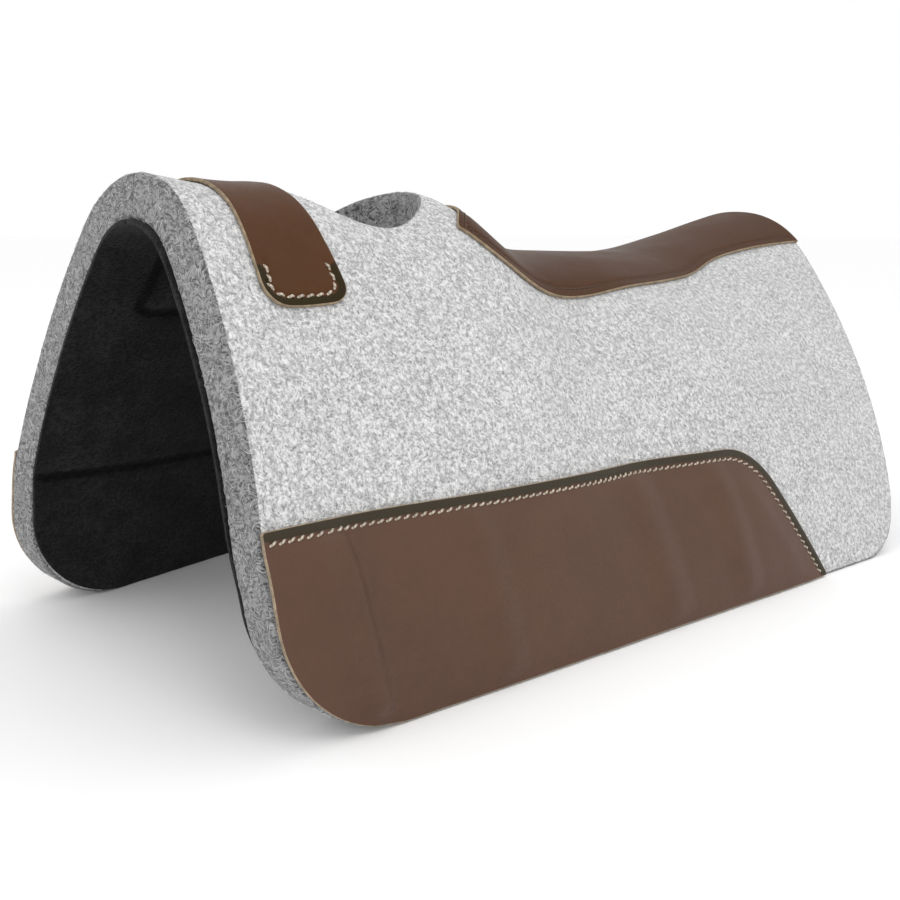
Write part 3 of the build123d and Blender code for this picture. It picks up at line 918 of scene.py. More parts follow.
def edge_group():
    """A burnished band outside the stitch line, and a pale raw edge on the cut."""
    tree, start, end = new_group("Leather Edge", "ShaderNodeTree", {
        "Vector": ("Vector",), "Body": ("Color", (0.1, 0.05, 0.03, 1.0)),
        "Margin": ("Color", (0.05, 0.04, 0.02, 1.0)), "Raw": ("Color", (0.5, 0.4, 0.3, 1.0)),
        "Width": ("Float", 6.0), "Strength": ("Float", 1.0),
    }, {"Color": "Color"})
    worn = noise(tree, start["Vector"], 260.0, 3.0, 0.6)
    uneven = times_plus(tree, math_node(tree, "SUBTRACT", worn, 0.5), 1.6, attribute(tree, "burnish_mm"))
    band = ramp(tree, uneven, math_node(tree, "ADD", start["Width"], 0.9), start["Width"])
    color = mixed(tree, times(tree, band, start["Strength"]), start["Body"], start["Margin"])
    raw = mixed(tree, ramp(tree, worn, 0.3, 0.7, 0.0, 0.45), start["Raw"], start["Margin"])
    plug(tree, end, Color=mixed(tree, ramp(tree, attribute(tree, "cut"), 0.35, 0.75), color, raw))
    return tree


def twist_group():
    """A laid thread: strands that wind round it with painted shade in the grooves between them, and a random
    tone of its own for each stitch.
    """
    tree, start, end = new_group("Thread Twist", "ShaderNodeTree", {
        "Base": ("Color", (0.6, 0.5, 0.4, 1.0)), "Turns": ("Float", 4.0),
    }, {"Color": "Color", "Height": "Float"})
    phase = times_plus(tree, attribute(tree, "along"), start["Turns"], attribute(tree, "around"))
    strand = ramp(tree, math_node(tree, "SINE", times(tree, phase, 2 * math.pi)), -1.0, 0.6)
    # Painted shade: the colour darkens in the grooves between the strands, where the bump is low.
    dark = mixed(tree, 1.0, start["Base"], (0.55, 0.52, 0.48), "MULTIPLY")
    color = mixed(tree, strand, dark, start["Base"])
    tint = times_plus(tree, attribute(tree, "shade"), 0.35, 0.80)
    grey = node(tree, "ShaderNodeCombineColor", None, _0=tint, _1=tint, _2=tint).outputs[0]
    plug(tree, end, Color=mixed(tree, 1.0, color, grey, "MULTIPLY"), Height=strand)
    return tree


SHADER_GROUPS = {
    "Felt Fibres": felt_group,
    "Leather Grain": leather_group,
    "Leather Edge": edge_group,
    "Thread Twist": twist_group,
}


def group_node(tree, name, **inputs):
    group = bpy.data.node_groups.get(name) or SHADER_GROUPS[name]()
    return node(tree, "ShaderNodeGroup", {"node_tree": group}, **inputs).outputs


def material(name, build):
    """The named material, built the first time it is asked for."""
    found = bpy.data.materials.get(name)
    if found is None:
        found = bpy.data.materials.new(name)
        found.use_nodes = True
        tree = found.node_tree
        build(tree, tree.nodes["Principled BSDF"], node(tree, "ShaderNodeTexCoord").outputs["Object"])
    return found


def bump(tree, height, distance, strength):
    return node(tree, "ShaderNodeBump", None, Height=height, Distance=distance, Strength=strength).outputs[0]


def felt_material(o):
    def build(tree, shader, where):
        # Painted shade: on the cut wall the fibres take the darker cut edge colours, for the shade on the
        # felt's cut faces.
        cut = ramp(tree, attribute(tree, "cut"), 0.05, 0.6)
        light = mixed(tree, cut, tuple(o.light), tuple(o.cut_light_painted_shade))
        dark = mixed(tree, cut, tuple(o.dark), tuple(o.cut_dark_painted_shade))
        strokes = ramp(tree, cut, 0.0, 1.0, 0.26, 0.62, False)
        felt = group_node(tree, "Felt Fibres", Vector=where, Light=light, Dark=dark, Strokes=strokes)
        plug(
            tree, shader, Base_Color=felt["Color"], Roughness=0.95, Specular_IOR_Level=0.15,
            Sheen_Weight=0.25, Sheen_Roughness=0.6, Normal=bump(tree, felt["Height"], 0.0011, 0.7),
        )

    return material("Grey Wool Felt", build)


def fibre_material(o):
    def build(tree, shader, where):
        color = mixed(tree, attribute(tree, "shade"), tuple(o.dark), (0.85, 0.85, 0.84))
        plug(tree, shader, Base_Color=color, Roughness=0.8, Specular_IOR_Level=0.2)

    return material("Loose Wool Fibre", build)


def lining_material(o):
    def build(tree, shader, where):
        tint = tuple(o.tint)
        light = tuple(9.0 * c for c in tint)
        felt = group_node(tree, "Felt Fibres", Vector=where, Light=light, Dark=tint, Strokes=0.25)
        cloud = ramp(tree, noise(tree, where, 34.0, 3.0, 0.6), 0.35, 0.65, 0.0, 0.5)
        color = mixed(tree, cloud, felt["Color"], tint)
        # Painted shade: the lining is darkened to near black along the stitching's grooves.
        line = ramp(tree, attribute(tree, "groove"), 0.15, 0.7)
        plug(
            tree, shader, Base_Color=mixed(tree, line, color, (0.001, 0.001, 0.001)), Roughness=0.92,
            Specular_IOR_Level=0.05, Sheen_Weight=0.08, Normal=bump(tree, felt["Height"], 0.0009, 0.7),
        )

    return material("Black Felt Lining", build)


def leather_material(name, o, colour, shine, grain=620.0, band=1.0):
    """A leather of its own colour, shine and grain, with or without its burnished band."""

    def build(tree, shader, where):
        hide = group_node(
            tree, "Leather Grain", Vector=where, Base=tuple(colour), Grain_Scale=grain, Mottle=0.38
        )
        edged = group_node(
            tree, "Leather Edge", Vector=where, Body=hide["Color"], Margin=tuple(o.margin),
            Raw=tuple(o.raw_edge), Width=6.0, Strength=band,
        )
        plug(
            tree, shader, Base_Color=edged["Color"], Roughness=hide["Roughness"],
            Specular_IOR_Level=shine, Normal=bump(tree, hide["Height"], 0.00045, 0.55),
        )

    return material(name, build)


def thread_material(name, colour):
    def build(tree, shader, where):
        thread = group_node(tree, "Thread Twist", Base=tuple(colour), Turns=3.0)
        relief = bump(tree, thread["Height"], 0.00018, 0.8)
        plug(tree, shader, Base_Color=thread["Color"], Roughness=0.6, Normal=relief)

    return material(name, build)


# ---------------------------------------------------------------- geometry node trees
def attribute_in(tree, name):
    return node(
        tree, "GeometryNodeInputNamedAttribute",
        {"data_type": "FLOAT" if name == "cut" else "FLOAT_VECTOR"}, Name=name,
    ).outputs["Attribute"]


def store(tree, geometry, name, value):
    return node(
        tree, "GeometryNodeStoreNamedAttribute", {"data_type": "FLOAT", "domain": "POINT"},
        Geometry=geometry, Value=value, Name=name,
    ).outputs["Geometry"]


def along_spline(tree):
    return node(tree, "GeometryNodeSplineParameter").outputs["Factor"]


def random_value(tree, low, high, seed):
    made = node(tree, "FunctionNodeRandomValue", {"data_type": "FLOAT"}, Seed=seed, _2=low, _3=high)
    return made.outputs[1]


def combine(tree, x=0.0, y=0.0, z=0.0):
    return node(tree, "ShaderNodeCombineXYZ", None, X=x, Y=y, Z=z).outputs[0]


def bowed_tube(tree, size, middle, sink, radius, points, sides):
    """A capped tube that bows from end to end, with how far along and around it each point is."""
    half = times(tree, size, 0.5)
    curve = node(
        tree, "GeometryNodeCurveQuadraticBezier", None, Resolution=points,
        Start=combine(tree, times(tree, half, -1.0), 0.0, sink), Middle=middle,
        End=combine(tree, half, 0.0, sink),
    ).outputs["Curve"]
    curve = store(tree, curve, "along", along_spline(tree))
    ring = node(tree, "GeometryNodeCurvePrimitiveCircle", None, Resolution=sides, Radius=radius)
    ring = store(tree, ring.outputs["Curve"], "around", along_spline(tree))
    made = node(tree, "GeometryNodeCurveToMesh", None, Curve=curve, Profile_Curve=ring, Fill_Caps=True)
    smooth = node(tree, "GeometryNodeSetShadeSmooth", None, Geometry=made.outputs["Mesh"])
    return smooth.outputs["Geometry"]


def spun(tree, rotation, angle):
    """The rotation, turned by the angle about its own Z axis."""
    turn = node(tree, "FunctionNodeEulerToRotation", None, Euler=combine(tree, z=angle)).outputs[0]
    return node(
        tree, "FunctionNodeRotateRotation", {"rotation_space": "LOCAL"}, Rotation=rotation, Rotate_By=turn
    ).outputs[0]


def laid_out(tree, end, surface, **inputs):
    """Lays instances on points, makes them real, gives them their material and puts them out."""
    laid = node(tree, "GeometryNodeInstanceOnPoints", None, **inputs).outputs["Instances"]
    real = node(tree, "GeometryNodeRealizeInstances", None, Geometry=laid).outputs["Geometry"]
    done = node(tree, "GeometryNodeSetMaterial", None, Geometry=real, Material=surface)
    plug(tree, end, Geometry=done.outputs["Geometry"])
    return tree


def stitch_tree():
    """Stitches on points: bowed threads, laid along and up as the points say."""
    tree, start, end = new_group("Stitches", "GeometryNodeTree", {
        "Geometry": ("Geometry",), "Length": ("Float", 0.005), "Diameter": ("Float", 0.0012),
        "Bow": ("Float", 0.001), "Unevenness": ("Float", 0.08), "Seed": ("Int", 1),
        "Material": ("Material",),
    }, {"Geometry": "Geometry"})
    thick, seed = start["Diameter"], start["Seed"]
    middle = combine(tree, z=times(tree, start["Bow"], 2.0))
    thread = bowed_tube(
        tree, start["Length"], middle, times(tree, thick, -0.75), times(tree, thick, 0.5), 8, 8
    )
    points = store(tree, start["Geometry"], "shade", random_value(tree, 0.0, 1.0, seed))
    turn = node(
        tree, "FunctionNodeAxesToRotation", {"primary_axis": "Z", "secondary_axis": "X"},
        Primary_Axis=attribute_in(tree, "up"), Secondary_Axis=attribute_in(tree, "lie"),
    ).outputs[0]
    uneven = random_value(tree, -1.0, 1.0, math_node(tree, "ADD", seed, 11.0))
    turn = spun(tree, turn, times(tree, uneven, start["Unevenness"]))
    return laid_out(tree, end, start["Material"], Points=points, Instance=thread, Rotation=turn)


def fibre_tree():
    """Loose fibres lying on a surface, more of them where it was cut."""
    tree, start, end = new_group("Fibres", "GeometryNodeTree", {
        "Geometry": ("Geometry",), "Density": ("Float", 10000.0), "Cut Density": ("Float", 60000.0),
        "Length": ("Float", 0.008), "Radius": ("Float", 0.0002), "Seed": ("Int", 1),
        "Material": ("Material",),
    }, {"Geometry": "Geometry"})
    size, seed = start["Length"], start["Seed"]
    middle = combine(tree, 0.0, times(tree, size, 0.34), times(tree, size, 0.10))
    fibre = bowed_tube(tree, size, middle, times(tree, size, -0.05), start["Radius"], 4, 3)
    extra = math_node(tree, "SUBTRACT", start["Cut Density"], start["Density"])
    spread = node(
        tree, "GeometryNodeDistributePointsOnFaces", {"distribute_method": "RANDOM"},
        Mesh=start["Geometry"], Seed=seed,
        Density=times_plus(tree, attribute_in(tree, "cut"), extra, start["Density"]),
    ).outputs
    points = store(tree, spread["Points"], "shade", random_value(tree, 0.0, 1.0, seed))
    spin = random_value(tree, -math.pi, math.pi, math_node(tree, "ADD", seed, 5.0))
    scale = random_value(tree, 0.6, 1.3, math_node(tree, "ADD", seed, 9.0))
    return laid_out(
        tree, end, start["Material"], Points=points, Instance=fibre,
        Rotation=spun(tree, spread["Rotation"], spin), Scale=combine(tree, scale, scale, scale),
    )


TREES = {"Stitches": stitch_tree, "Fibres": fibre_tree}


def grown(source, name, tree_name, surface, values):
    """The plain mesh that a node tree makes from the source object."""
    tree = bpy.data.node_groups.get(tree_name) or TREES[tree_name]()
    modifier = source.modifiers.new(tree_name, "NODES")
    modifier.node_group = tree
    values = dict(values, Material=surface)
    for item in tree.interface.items_tree:
        if item.item_type == "SOCKET" and item.in_out == "INPUT" and item.name in values:
            modifier[item.identifier] = values[item.name]
    source.update_tag()
    bpy.context.view_layer.update()
    evaluated = source.evaluated_get(bpy.context.evaluated_depsgraph_get())
    mesh = bpy.data.meshes.new_from_object(evaluated)
    source.modifiers.remove(modifier)
    mesh.name = name
    if not mesh.materials:
        mesh.materials.append(surface)
    obj = bpy.data.objects.new(name, mesh)
    bpy.context.scene.collection.objects.link(obj)
    return obj


# ---------------------------------------------------------------- stitch lines
def stations(line, pitch):
    """Evenly spaced places along an open flat line, and the line's direction at each."""
    run = arc_run(line)
    count = max(int(round(run[-1] / pitch)), 1)
    at = (np.arange(count) + 0.5) * run[-1] / count
    direction = points_at(line, run, at + 0.001) - points_at(line, run, at - 0.001)
    return points_at(line, run, at), direction / np.linalg.norm(direction, axis=1)[:, None]


def stitch_row(name, lines, pitch, slant, lift, surface, values, slot, node_name, downward=False):
    """Stitches along flat lines, as one piece that stands for a packed part."""
    places, ways = (np.concatenate(each) for each in zip(*(stations(line, pitch) for line in lines)))
    cos, sin = np.cos(slant), np.sin(slant)
    ways = np.stack([ways[:, 0] * cos - ways[:, 1] * sin, ways[:, 0] * sin + ways[:, 1] * cos], axis=1)
    points, up = SKIN.place(places, lift)
    lie = SKIN.place(places + ways * 0.001, lift)[0] - points
    lie /= np.linalg.norm(lie, axis=1)[:, None]
    guide = mesh_object(name + "_guide", points, [])
    add_attribute(guide, "lie", lie, "FLOAT_VECTOR")
    add_attribute(guide, "up", -up if downward else up, "FLOAT_VECTOR")
    obj = grown(guide, name, "Stitches", surface, values)
    bpy.data.objects.remove(guide)
    declare(obj, slot, node_name)


def wear_stitch_line(leather, margin):
    """The wear leather's stitch line in the flat: back along the top border and down the rear."""
    front_top, corner, rear_foot = wear_side_outline(margin, leather)
    start = (front_top[0] + 0.004, front_top[1])
    line = densified(np.concatenate([[start], corner, [(rear_foot[0] - 0.002, 0.004)]]), 0.004)
    return on_arch(line[:, 0], line[:, 1], HEIGHT)


def strap_stitch_line(leather, margin, rise):
    """The strap's stitching at one end: up one side's foot, across and up the other."""
    end = strap_end() - margin
    low, high = STRAP_LOW[1] + margin, STRAP_HIGH[1] - margin
    radius = leather.strap_corner - margin * 0.5
    side = np.linspace(end - rise, end - radius, 12)
    first = rounded_corner((side[-1], low), (end, low), (end, high), radius)
    second = rounded_corner((end, low), (end, high), (side[0], high), radius)
    side = np.stack([side, strap_front(side, leather, margin)], axis=1)
    return densified(np.concatenate([side, first, second, [(side[0, 0], high)]]), 0.002)


def spine_stitch_line(leather, o, margin):
    """The spine leather's stitching: round its front scoop and down both sides."""
    scoop, side = spine_border(leather, margin, o)
    side = side[side[:, 1] < rear_line(leather.tail - margin, 0.0, o)[0, 1] - margin]
    scoop, side = (on_arch(line[:, 1], line[:, 0], WIDTH) for line in (scoop, side))
    scoop[0, 0] = 0.0
    left = np.concatenate([scoop, side[1:]])
    return np.concatenate([mirrored(left)[::-1][:-1], left])


# ---------------------------------------------------------------- reliefs
WEAR_FOLDS = ((0.062, 0.010, 1.0), (0.165, 0.015, 0.55), (0.335, 0.018, 0.60), (0.425, 0.014, 0.35))
FOLD_LEAN = 0.10            # the folds run back as they run up, by this share
FOLD_MIDDLE_S = 0.40        # how far down the arch a fold stands where it is placed
FOLD_DIP = 0.35             # the dip behind each fold, as a share of its height
FOLD_BORDER = 0.016         # the folds die out this near the leather's border
PUFF_REACH = 0.026          # how far inside the stitches the leather has risen to its full puff
PUFF_BORDER = 0.030
SEWN_BAND = 0.0076          # the leather outside its stitches lies nearly flat
GROOVE_WIDTH = 0.0040       # of the stitching's grooves in the lining
CHANNEL_WIDTH = 0.0022      # of the stitch channels in the leathers
SPINE_CHANNEL_WIDTH = 0.0020


def waves(pattern, size, seed):
    """Soft unevenness between 0 and 1: a few crossed sine waves with seeded directions."""
    dice = np.random.default_rng(seed)
    total = np.zeros(len(pattern))
    for _ in range(7):
        turn, phase = dice.uniform(0, math.pi), dice.uniform(0, 2 * math.pi)
        reach = size * dice.uniform(0.6, 1.6)
        total += np.sin((pattern @ (math.cos(turn), math.sin(turn))) * 2 * math.pi / reach + phase)
    return np.clip(0.5 + total / 9.0, 0.0, 1.0)


def smooth_fall(distance, reach):
    t = np.clip(1.0 - distance / reach, 0.0, 1.0)
    return t * t * (3 - 2 * t)


def bell(distance, width):
    return np.exp(-((distance / width) ** 2))


def channel(pattern, line, width, depth):
    return -depth * bell(line_distance(pattern, line), width)


def folds(pattern, edge, height):
    """Soft upright folds in the wear leather: (behind its front edge, half width, share of height)."""
    rise = np.zeros(len(pattern))
    for back, width, share in WEAR_FOLDS:
        at = pattern[:, 1] - (FRONT_Y + back) - FOLD_LEAN * (np.abs(pattern[:, 0]) - FOLD_MIDDLE_S)
        rise += share * (bell(at, width) - FOLD_DIP * bell(at - 2 * width, width))
    return height * np.clip(rise, 0.0, None) * (1 - smooth_fall(edge, FOLD_BORDER))


def wear_rise(pattern, edge, line, leather):
    """How far the wear leather stands off the felt: its folds, and the puff inside its stitches."""
    stand = 1 - smooth_fall(line_distance(pattern, line), PUFF_REACH)
    stand = stand * (0.45 + 0.55 * (1 - smooth_fall(edge, PUFF_BORDER)))
    stand = np.where(edge < SEWN_BAND, np.minimum(stand, 0.35), stand)
    return folds(pattern, edge, leather.fold) + leather.pillow * stand


def on_top(rise):
    """A relief on a layer's upper face only."""
    return lambda pattern, edge, top: rise(pattern) if top else np.zeros(len(pattern))


def hole_nearness(o):
    """How near a flat point is to the wither hole: 1 at its rim and 0 from 45 mm away."""
    middle, reach_s, reach_y = hole_middle(o), o.hole_width / 2 * 1.12, o.hole_length / 2

    def nearness(pattern):
        far = np.hypot(pattern[:, 0] / reach_s, (pattern[:, 1] - middle) / reach_y)
        return smooth_fall(np.maximum(far - 1.0, 0.0), 0.045 / reach_y)

    return nearness


# ---------------------------------------------------------------- operators
SIDES = (("left", 1), ("right", -1))
SEAM_HALF_GAP = 0.00015
FELT_BORDER_SPACING = 0.0045
LINING_BORDER_SPACING = 0.005
LINING_INSET = 0.0008       # how far inside the felt's outline the lining is cut
LINING_EDGE_RADIUS = 0.0006
FELT_SEED, LINING_SEED, WEAR_SEED, STRAP_SEED, SPINE_SEED = 11, 21, 31, 33, 35
LINING_STRAP_RISE = 0.09    # how far the strap's grooves run up the lining
SEAM_DIAMETER, SEAM_BOW = 0.0011, 0.0006
SEAM_LEAN = 0.95            # angle of a zigzag stitch to its seam
FELT_SEAM_LIFT = -0.0010    # the zigzag is pulled this far into the felt
FLOOR_HALF = 60
LAMPS = (                   # name, place, size and power
    ("Key Light", (1.6, -0.6, 2.4), 1.2, 10.0),
    ("Window Light", (2.0, -2.3, 0.7), 0.6, 10.0),
    ("Top Light", (0.2, 0.6, 2.8), 2.2, 6.0),
)


def declare(obj, slot, *nodes):
    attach(obj, "root")
    if nodes:
        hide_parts(*nodes)


def both_sides(border):
    """Each side's name, its sign and the border turned to that side."""
    for side, sign in SIDES:
        yield side, sign, border if sign > 0 else counter_clockwise(mirrored(border))


def felt_border(o, inset, lift, spacing):
    border = felt_pattern(o, inset, lift, spacing)
    border[:, 0] = np.maximum(border[:, 0], SEAM_HALF_GAP)
    return border


def leather_sheet(name, border, leather, relief, surface, slot, node_name, burnish=None):
    """A leather cut to the border, with its burnished margin's distances if it has one."""
    obj = shell(
        name, border, leather.gap + leather.thickness, leather.thickness, leather.edge_radius,
        leather.spacing, fine=(leather.fine_spacing, leather.fine_band), relief=relief,
        mark=("burnish_mm", burnish) if burnish else None,
    )
    obj.data.materials.append(surface)
    declare(obj, slot, node_name)


class PadStep:
    """What every operator here does: it builds its pieces from the scene's settings."""

    def execute(self, context):
        self.build(context.scene)
        return {"FINISHED"}


class PAD_OT_felt(PadStep, bpy.types.Operator):
    """Makes the two thick felt halves"""

    bl_idname = "pad.felt"
    bl_label = "Felt Halves"

    def build(self, scene):
        o, felt = scene.pad_outline, scene.pad_felt
        border = felt_border(o, 0.0, 0.0, FELT_BORDER_SPACING)
        for index, (side, _, line) in enumerate(both_sides(border)):
            seed = FELT_SEED + index

            def uneven(pattern):
                soft = waves(pattern, 0.055, seed) * 0.75 + waves(pattern, 0.014, seed + 40) * 0.25
                return -felt.undulation * soft

            obj = shell(
                side + "_felt", line, 0.0, felt.thickness, felt.edge_radius, felt.spacing,
                wall_rows=6, relief=on_top(uneven), upright=hole_nearness(o),
            )
            obj.data.materials.append(felt_material(felt))
            declare(obj, "grey_felt", side + "_felt_panel")


class PAD_OT_fibres(PadStep, bpy.types.Operator):
    """Scatters loose fibres over the felt halves"""

    bl_idname = "pad.fibres"
    bl_label = "Loose Fibres"

    def build(self, scene):
        settings, surface = scene.pad_fibres, fibre_material(scene.pad_felt)
        for index, (side, _) in enumerate(SIDES):
            obj = grown(bpy.data.objects[side + "_felt"], side + "_felt_fibres", "Fibres", surface, {
                "Density": settings.density, "Cut Density": settings.cut_density,
                "Length": settings.size, "Radius": settings.radius, "Seed": settings.seed + index,
            })
            declare(obj, "grey_felt")


class PAD_OT_lining(PadStep, bpy.types.Operator):
    """Makes the dark lining under each felt half, with the stitching's grooves in it"""

    bl_idname = "pad.lining"
    bl_label = "Linings"

    def build(self, scene):
        o, felt, lining, leather = scene.pad_outline, scene.pad_felt, scene.pad_lining, scene.pad_leather
        top = -felt.thickness - lining.gap
        border = felt_border(o, LINING_INSET, top, LINING_BORDER_SPACING)
        margin = scene.pad_stitches.margin
        sewn = wear_stitch_line(leather, margin), strap_stitch_line(leather, margin, LINING_STRAP_RISE)
        for side, sign, line in both_sides(border):

            def pull(pattern):
                near = np.minimum(*(line_distance(pattern * (sign, 1), each) for each in sewn))
                return bell(near, GROOVE_WIDTH)

            def relief(pattern, edge, is_top):
                if is_top:
                    return np.zeros(len(pattern))
                return lining.groove * pull(pattern) - 0.0008 * waves(pattern, 0.03, LINING_SEED)

            # The groove mark also drives the painted shade along the stitching's grooves in the lining's
            # material.
            obj = shell(
                side + "_lining_felt", line, top, lining.thickness, LINING_EDGE_RADIUS, lining.spacing,
                relief=relief, upright=hole_nearness(o), mark=("groove", pull),
            )
            obj.data.materials.append(lining_material(lining))
            declare(obj, "dark_lining", side + "_lining")


class PAD_OT_wear_leathers(PadStep, bpy.types.Operator):
    """Makes the two wear leathers on the skirts"""

    bl_idname = "pad.wear_leathers"
    bl_label = "Wear Leathers"

    def build(self, scene):
        leather = scene.pad_leather
        border = wear_pattern(scene.pad_outline, leather, leather.fine_spacing)
        line = wear_stitch_line(leather, scene.pad_stitches.margin)
        outer = wear_stitch_line(leather, 0.0)
        surface = leather_material("Brown Leather", leather, leather.brown, 0.30)
        for side, sign, turned in both_sides(border):

            def relief(pattern, edge, top):
                across = pattern * (sign, 1)
                rise = wear_rise(across, edge, line, leather)
                if not top:
                    return rise
                rise = rise + channel(across, line, CHANNEL_WIDTH, leather.channel)
                return rise + 0.0005 * (waves(pattern, 0.05, WEAR_SEED) - 0.5)

            def burnish(pattern):
                return line_distance(pattern * (sign, 1), outer) * 1000

            leather_sheet(
                side + "_skirt_leather", turned, leather, relief, surface, "brown_leather",
                side + "_wear_leather", burnish,
            )


class PAD_OT_strap(PadStep, bpy.types.Operator):
    """Makes the strap over the withers"""

    bl_idname = "pad.strap"
    bl_label = "Wither Strap"

    def build(self, scene):
        leather, stitches = scene.pad_leather, scene.pad_stitches
        line = strap_stitch_line(leather, stitches.margin, stitches.strap_rise)
        outer = strap_stitch_line(leather, 0.0, stitches.strap_rise)

        def left_side(pattern):
            return np.abs(pattern) * (1, 0) + pattern * (0, 1)

        def sewn(pattern):
            pulled = channel(left_side(pattern), line, CHANNEL_WIDTH, leather.channel)
            return pulled + 0.0004 * (waves(pattern, 0.04, STRAP_SEED) - 0.5)

        def burnish(pattern):
            return line_distance(left_side(pattern), outer) * 1000

        surface = leather_material("Strap Leather", leather, leather.strap_brown, 0.06, grain=560.0)
        leather_sheet(
            "strap_leather_piece", strap_pattern(leather, leather.fine_spacing), leather, on_top(sewn),
            surface, "strap_leather", "wither_strap", burnish,
        )


class PAD_OT_spine_leather(PadStep, bpy.types.Operator):
    """Makes the leather along the spine, behind the wither hole"""

    bl_idname = "pad.spine_leather"
    bl_label = "Spine Leather"

    def build(self, scene):
        o, leather = scene.pad_outline, scene.pad_leather
        line = spine_stitch_line(leather, o, scene.pad_stitches.margin)

        def sewn(pattern):
            pulled = channel(pattern, line, SPINE_CHANNEL_WIDTH, leather.channel * 0.8)
            return pulled + 0.0006 * (waves(pattern, 0.07, SPINE_SEED) - 0.5)

        surface = leather_material("Spine Leather", leather, leather.spine_brown, 0.02, band=0.0)
        leather_sheet(
            "spine_leather_piece", spine_pattern(leather, o, leather.fine_spacing), leather,
            on_top(sewn), surface, "brown_leather", "spine_leather",
        )


class PAD_OT_stitches(PadStep, bpy.types.Operator):
    """Lays the stitches on the leathers"""

    bl_idname = "pad.stitches"
    bl_label = "Leather Stitches"

    def build(self, scene):
        o, leather, t = scene.pad_outline, scene.pad_leather, scene.pad_stitches
        face = leather.gap + leather.thickness - leather.channel
        values = {"Length": t.size, "Diameter": t.diameter, "Bow": t.diameter * 0.9, "Seed": t.seed}
        pale, brown = thread_material("Pale Thread", t.pale), thread_material("Brown Thread", t.brown)
        wear_line = wear_stitch_line(leather, t.margin)
        for side, sign in SIDES:
            line = wear_line if sign > 0 else mirrored(wear_line)
            places = stations(line, t.pitch)[0] * (sign, 1)
            rise = wear_rise(places, np.full(len(places), t.margin), wear_line, leather)
            stitch_row(
                side + "_skirt_thread", [line], t.pitch, sign * t.slant, face + rise, pale, values,
                "pale_thread", side + "_wear_stitches",
            )
        end = strap_stitch_line(leather, t.margin, t.strap_rise)
        big = dict(values, Length=t.strap_size, Diameter=t.diameter * 1.15)
        stitch_row(
            "strap_thread", [end, mirrored(end)], t.strap_pitch, t.slant * 0.6, face, pale, big,
            "pale_thread", "strap_stitches",
        )
        small = dict(values, Length=t.size * 0.9, Diameter=t.diameter * 0.8, Bow=t.diameter * 0.6)
        stitch_row(
            "spine_thread", [spine_stitch_line(leather, o, t.margin)], t.pitch, 0.0, face, brown, small,
            "brown_thread", "spine_leather_stitches",
        )


class PAD_OT_seams(PadStep, bpy.types.Operator):
    """Sews the felt halves together, and the linings under them, with zigzag stitches"""

    bl_idname = "pad.seams"
    bl_label = "Spine Seams"

    def build(self, scene):
        o, felt, lining, t = scene.pad_outline, scene.pad_felt, scene.pad_lining, scene.pad_stitches
        leather = scene.pad_leather
        front = float(front_edge(np.array([CAD_BOX[1][2]]), 0.0, o)[0])
        values = {"Length": t.seam_size, "Diameter": SEAM_DIAMETER, "Bow": SEAM_BOW, "Seed": t.seed + 1}
        hole_front, hole_rear = STRAP_HIGH[1] + o.strap_to_hole, hole_middle(o) + o.hole_length / 2
        on_felt = (
            (front + 0.005, STRAP_LOW[1] + leather.strap_setback - 0.004),
            (hole_rear + 0.005, hole_rear + leather.spine_gap - 0.005),
        )
        on_lining = (front + 0.008, hole_front - 0.006), (hole_rear + 0.006, REAR_Y - 0.034)
        under = -felt.thickness - lining.gap - lining.thickness
        for kind, stretches, lift, surface, slot in (
            ("felt", on_felt, FELT_SEAM_LIFT, thread_material("Grey Thread", t.grey), "grey_thread"),
            ("lining", on_lining, under, thread_material("Black Thread", t.black), "black_thread"),
        ):
            lines = [densified([(0.0, a), (0.0, b)], 0.002) for a, b in stretches]
            counts = [len(stations(line, t.seam_pitch)[0]) for line in lines]
            lean = np.concatenate([np.where(np.arange(n) % 2, SEAM_LEAN, -SEAM_LEAN) for n in counts])
            stitch_row(
                kind + "_seam_thread", lines, t.seam_pitch, lean, lift, surface, values, slot,
                kind + "_seam_stitches", kind == "lining",
            )


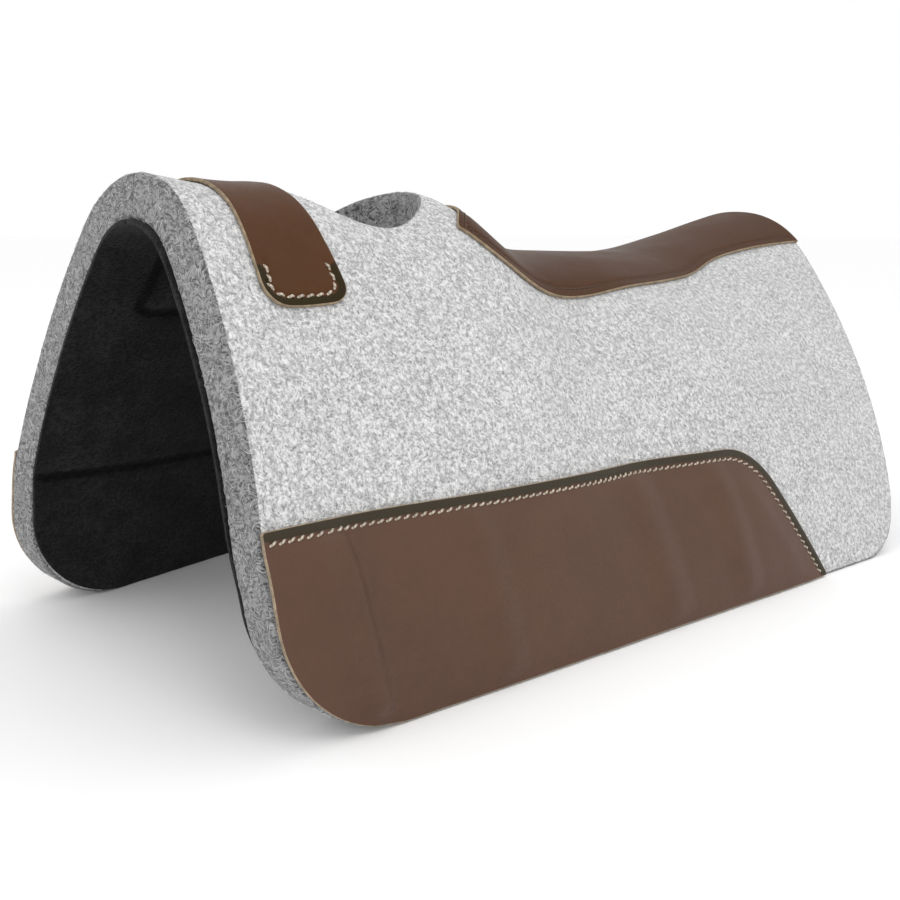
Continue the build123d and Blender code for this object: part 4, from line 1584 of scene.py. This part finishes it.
class PAD_OT_stage(PadStep, bpy.types.Operator):
    """Sets up the floor, the lights, the world and the camera"""

    bl_idname = "pad.stage"
    bl_label = "Studio"

    def build(self, scene):
        o = scene.pad_stage
        corners = [(x * FLOOR_HALF, y * FLOOR_HALF, 0) for x, y in ((-1, -1), (1, -1), (1, 1), (-1, 1))]
        floor = mesh_object("floor", corners, [(0, 1, 2, 3)])

        def pale(tree, shader, where):
            lighter = tuple(min(1.0, 1.01 * c) for c in o.floor)
            color = mixed(tree, noise(tree, where, 3.0, 2.0), tuple(o.floor), lighter)
            plug(tree, shader, Base_Color=color, Roughness=0.9, Specular_IOR_Level=0.1)

        floor.data.materials.append(material("Pale Floor", pale))
        world = bpy.data.worlds.new("Studio")
        world.use_nodes = True
        plug(world.node_tree, world.node_tree.nodes["Background"], Color=(1.0, 1.0, 1.0), Strength=1.0)
        scene.world = world
        centre = Vector(o.target)
        for name, where, size, power in LAMPS:
            light = bpy.data.lights.new(name, "AREA")
            light.size = size
            light.energy = power
            lamp = bpy.data.objects.new(name, light)
            lamp.location = where
            lamp.rotation_euler = (centre - Vector(where)).to_track_quat("-Z", "Y").to_euler()
            scene.collection.objects.link(lamp)
        azimuth, elevation = math.radians(o.azimuth), math.radians(o.elevation)
        level = math.cos(elevation)
        back = Vector((math.sin(azimuth) * level, -math.cos(azimuth) * level, math.sin(elevation)))
        camera = bpy.data.cameras.new("Camera")
        camera.lens = o.lens
        camera.sensor_width = 36.0
        camera.clip_start = 0.01
        camera.clip_end = 200.0
        eye = bpy.data.objects.new("Camera", camera)
        eye.location = centre + back * o.distance
        eye.rotation_euler = back.to_track_quat("Z", "Y").to_euler()
        scene.collection.objects.link(eye)
        scene.camera = eye
        scene.view_settings.view_transform = "Standard"


class PAD_PT_panel(bpy.types.Panel):
    """Lists the pieces of the pad and their settings"""

    bl_label = "Saddle Pad"
    bl_idname = "PAD_PT_panel"
    bl_space_type = "VIEW_3D"
    bl_region_type = "UI"
    bl_category = "Saddle Pad"

    def draw(self, context):
        for operator in OPERATORS:
            self.layout.operator(operator.bl_idname)
        for key, group in SETTINGS.items():
            box = self.layout.box()
            box.label(text=group.__doc__.rstrip("."))
            for prop in group.__annotations__:
                box.prop(getattr(context.scene, key), prop)


SETTINGS = {
    "pad_outline": PadOutline,
    "pad_felt": FeltSettings,
    "pad_fibres": FibreSettings,
    "pad_lining": LiningSettings,
    "pad_leather": LeatherSettings,
    "pad_stitches": StitchSettings,
    "pad_stage": StageSettings,
}
OPERATORS = (
    PAD_OT_felt, PAD_OT_fibres, PAD_OT_lining, PAD_OT_wear_leathers, PAD_OT_strap,
    PAD_OT_spine_leather, PAD_OT_stitches, PAD_OT_seams, PAD_OT_stage,
)
CLASSES = (*SETTINGS.values(), *OPERATORS, PAD_PT_panel)


def register():
    for each in CLASSES:
        bpy.utils.register_class(each)
    for key, group in SETTINGS.items():
        setattr(bpy.types.Scene, key, PointerProperty(type=group))


def unregister():
    for key in SETTINGS:
        delattr(bpy.types.Scene, key)
    for each in reversed(CLASSES):
        bpy.utils.unregister_class(each)


def main():
    register()
    bpy.ops.pad.felt()
    bpy.ops.pad.fibres()
    bpy.ops.pad.lining()
    bpy.ops.pad.wear_leathers()
    bpy.ops.pad.strap()
    bpy.ops.pad.spine_leather()
    bpy.ops.pad.stitches()
    bpy.ops.pad.seams()
    bpy.ops.pad.stage()


if __name__ == "__main__":
    main()
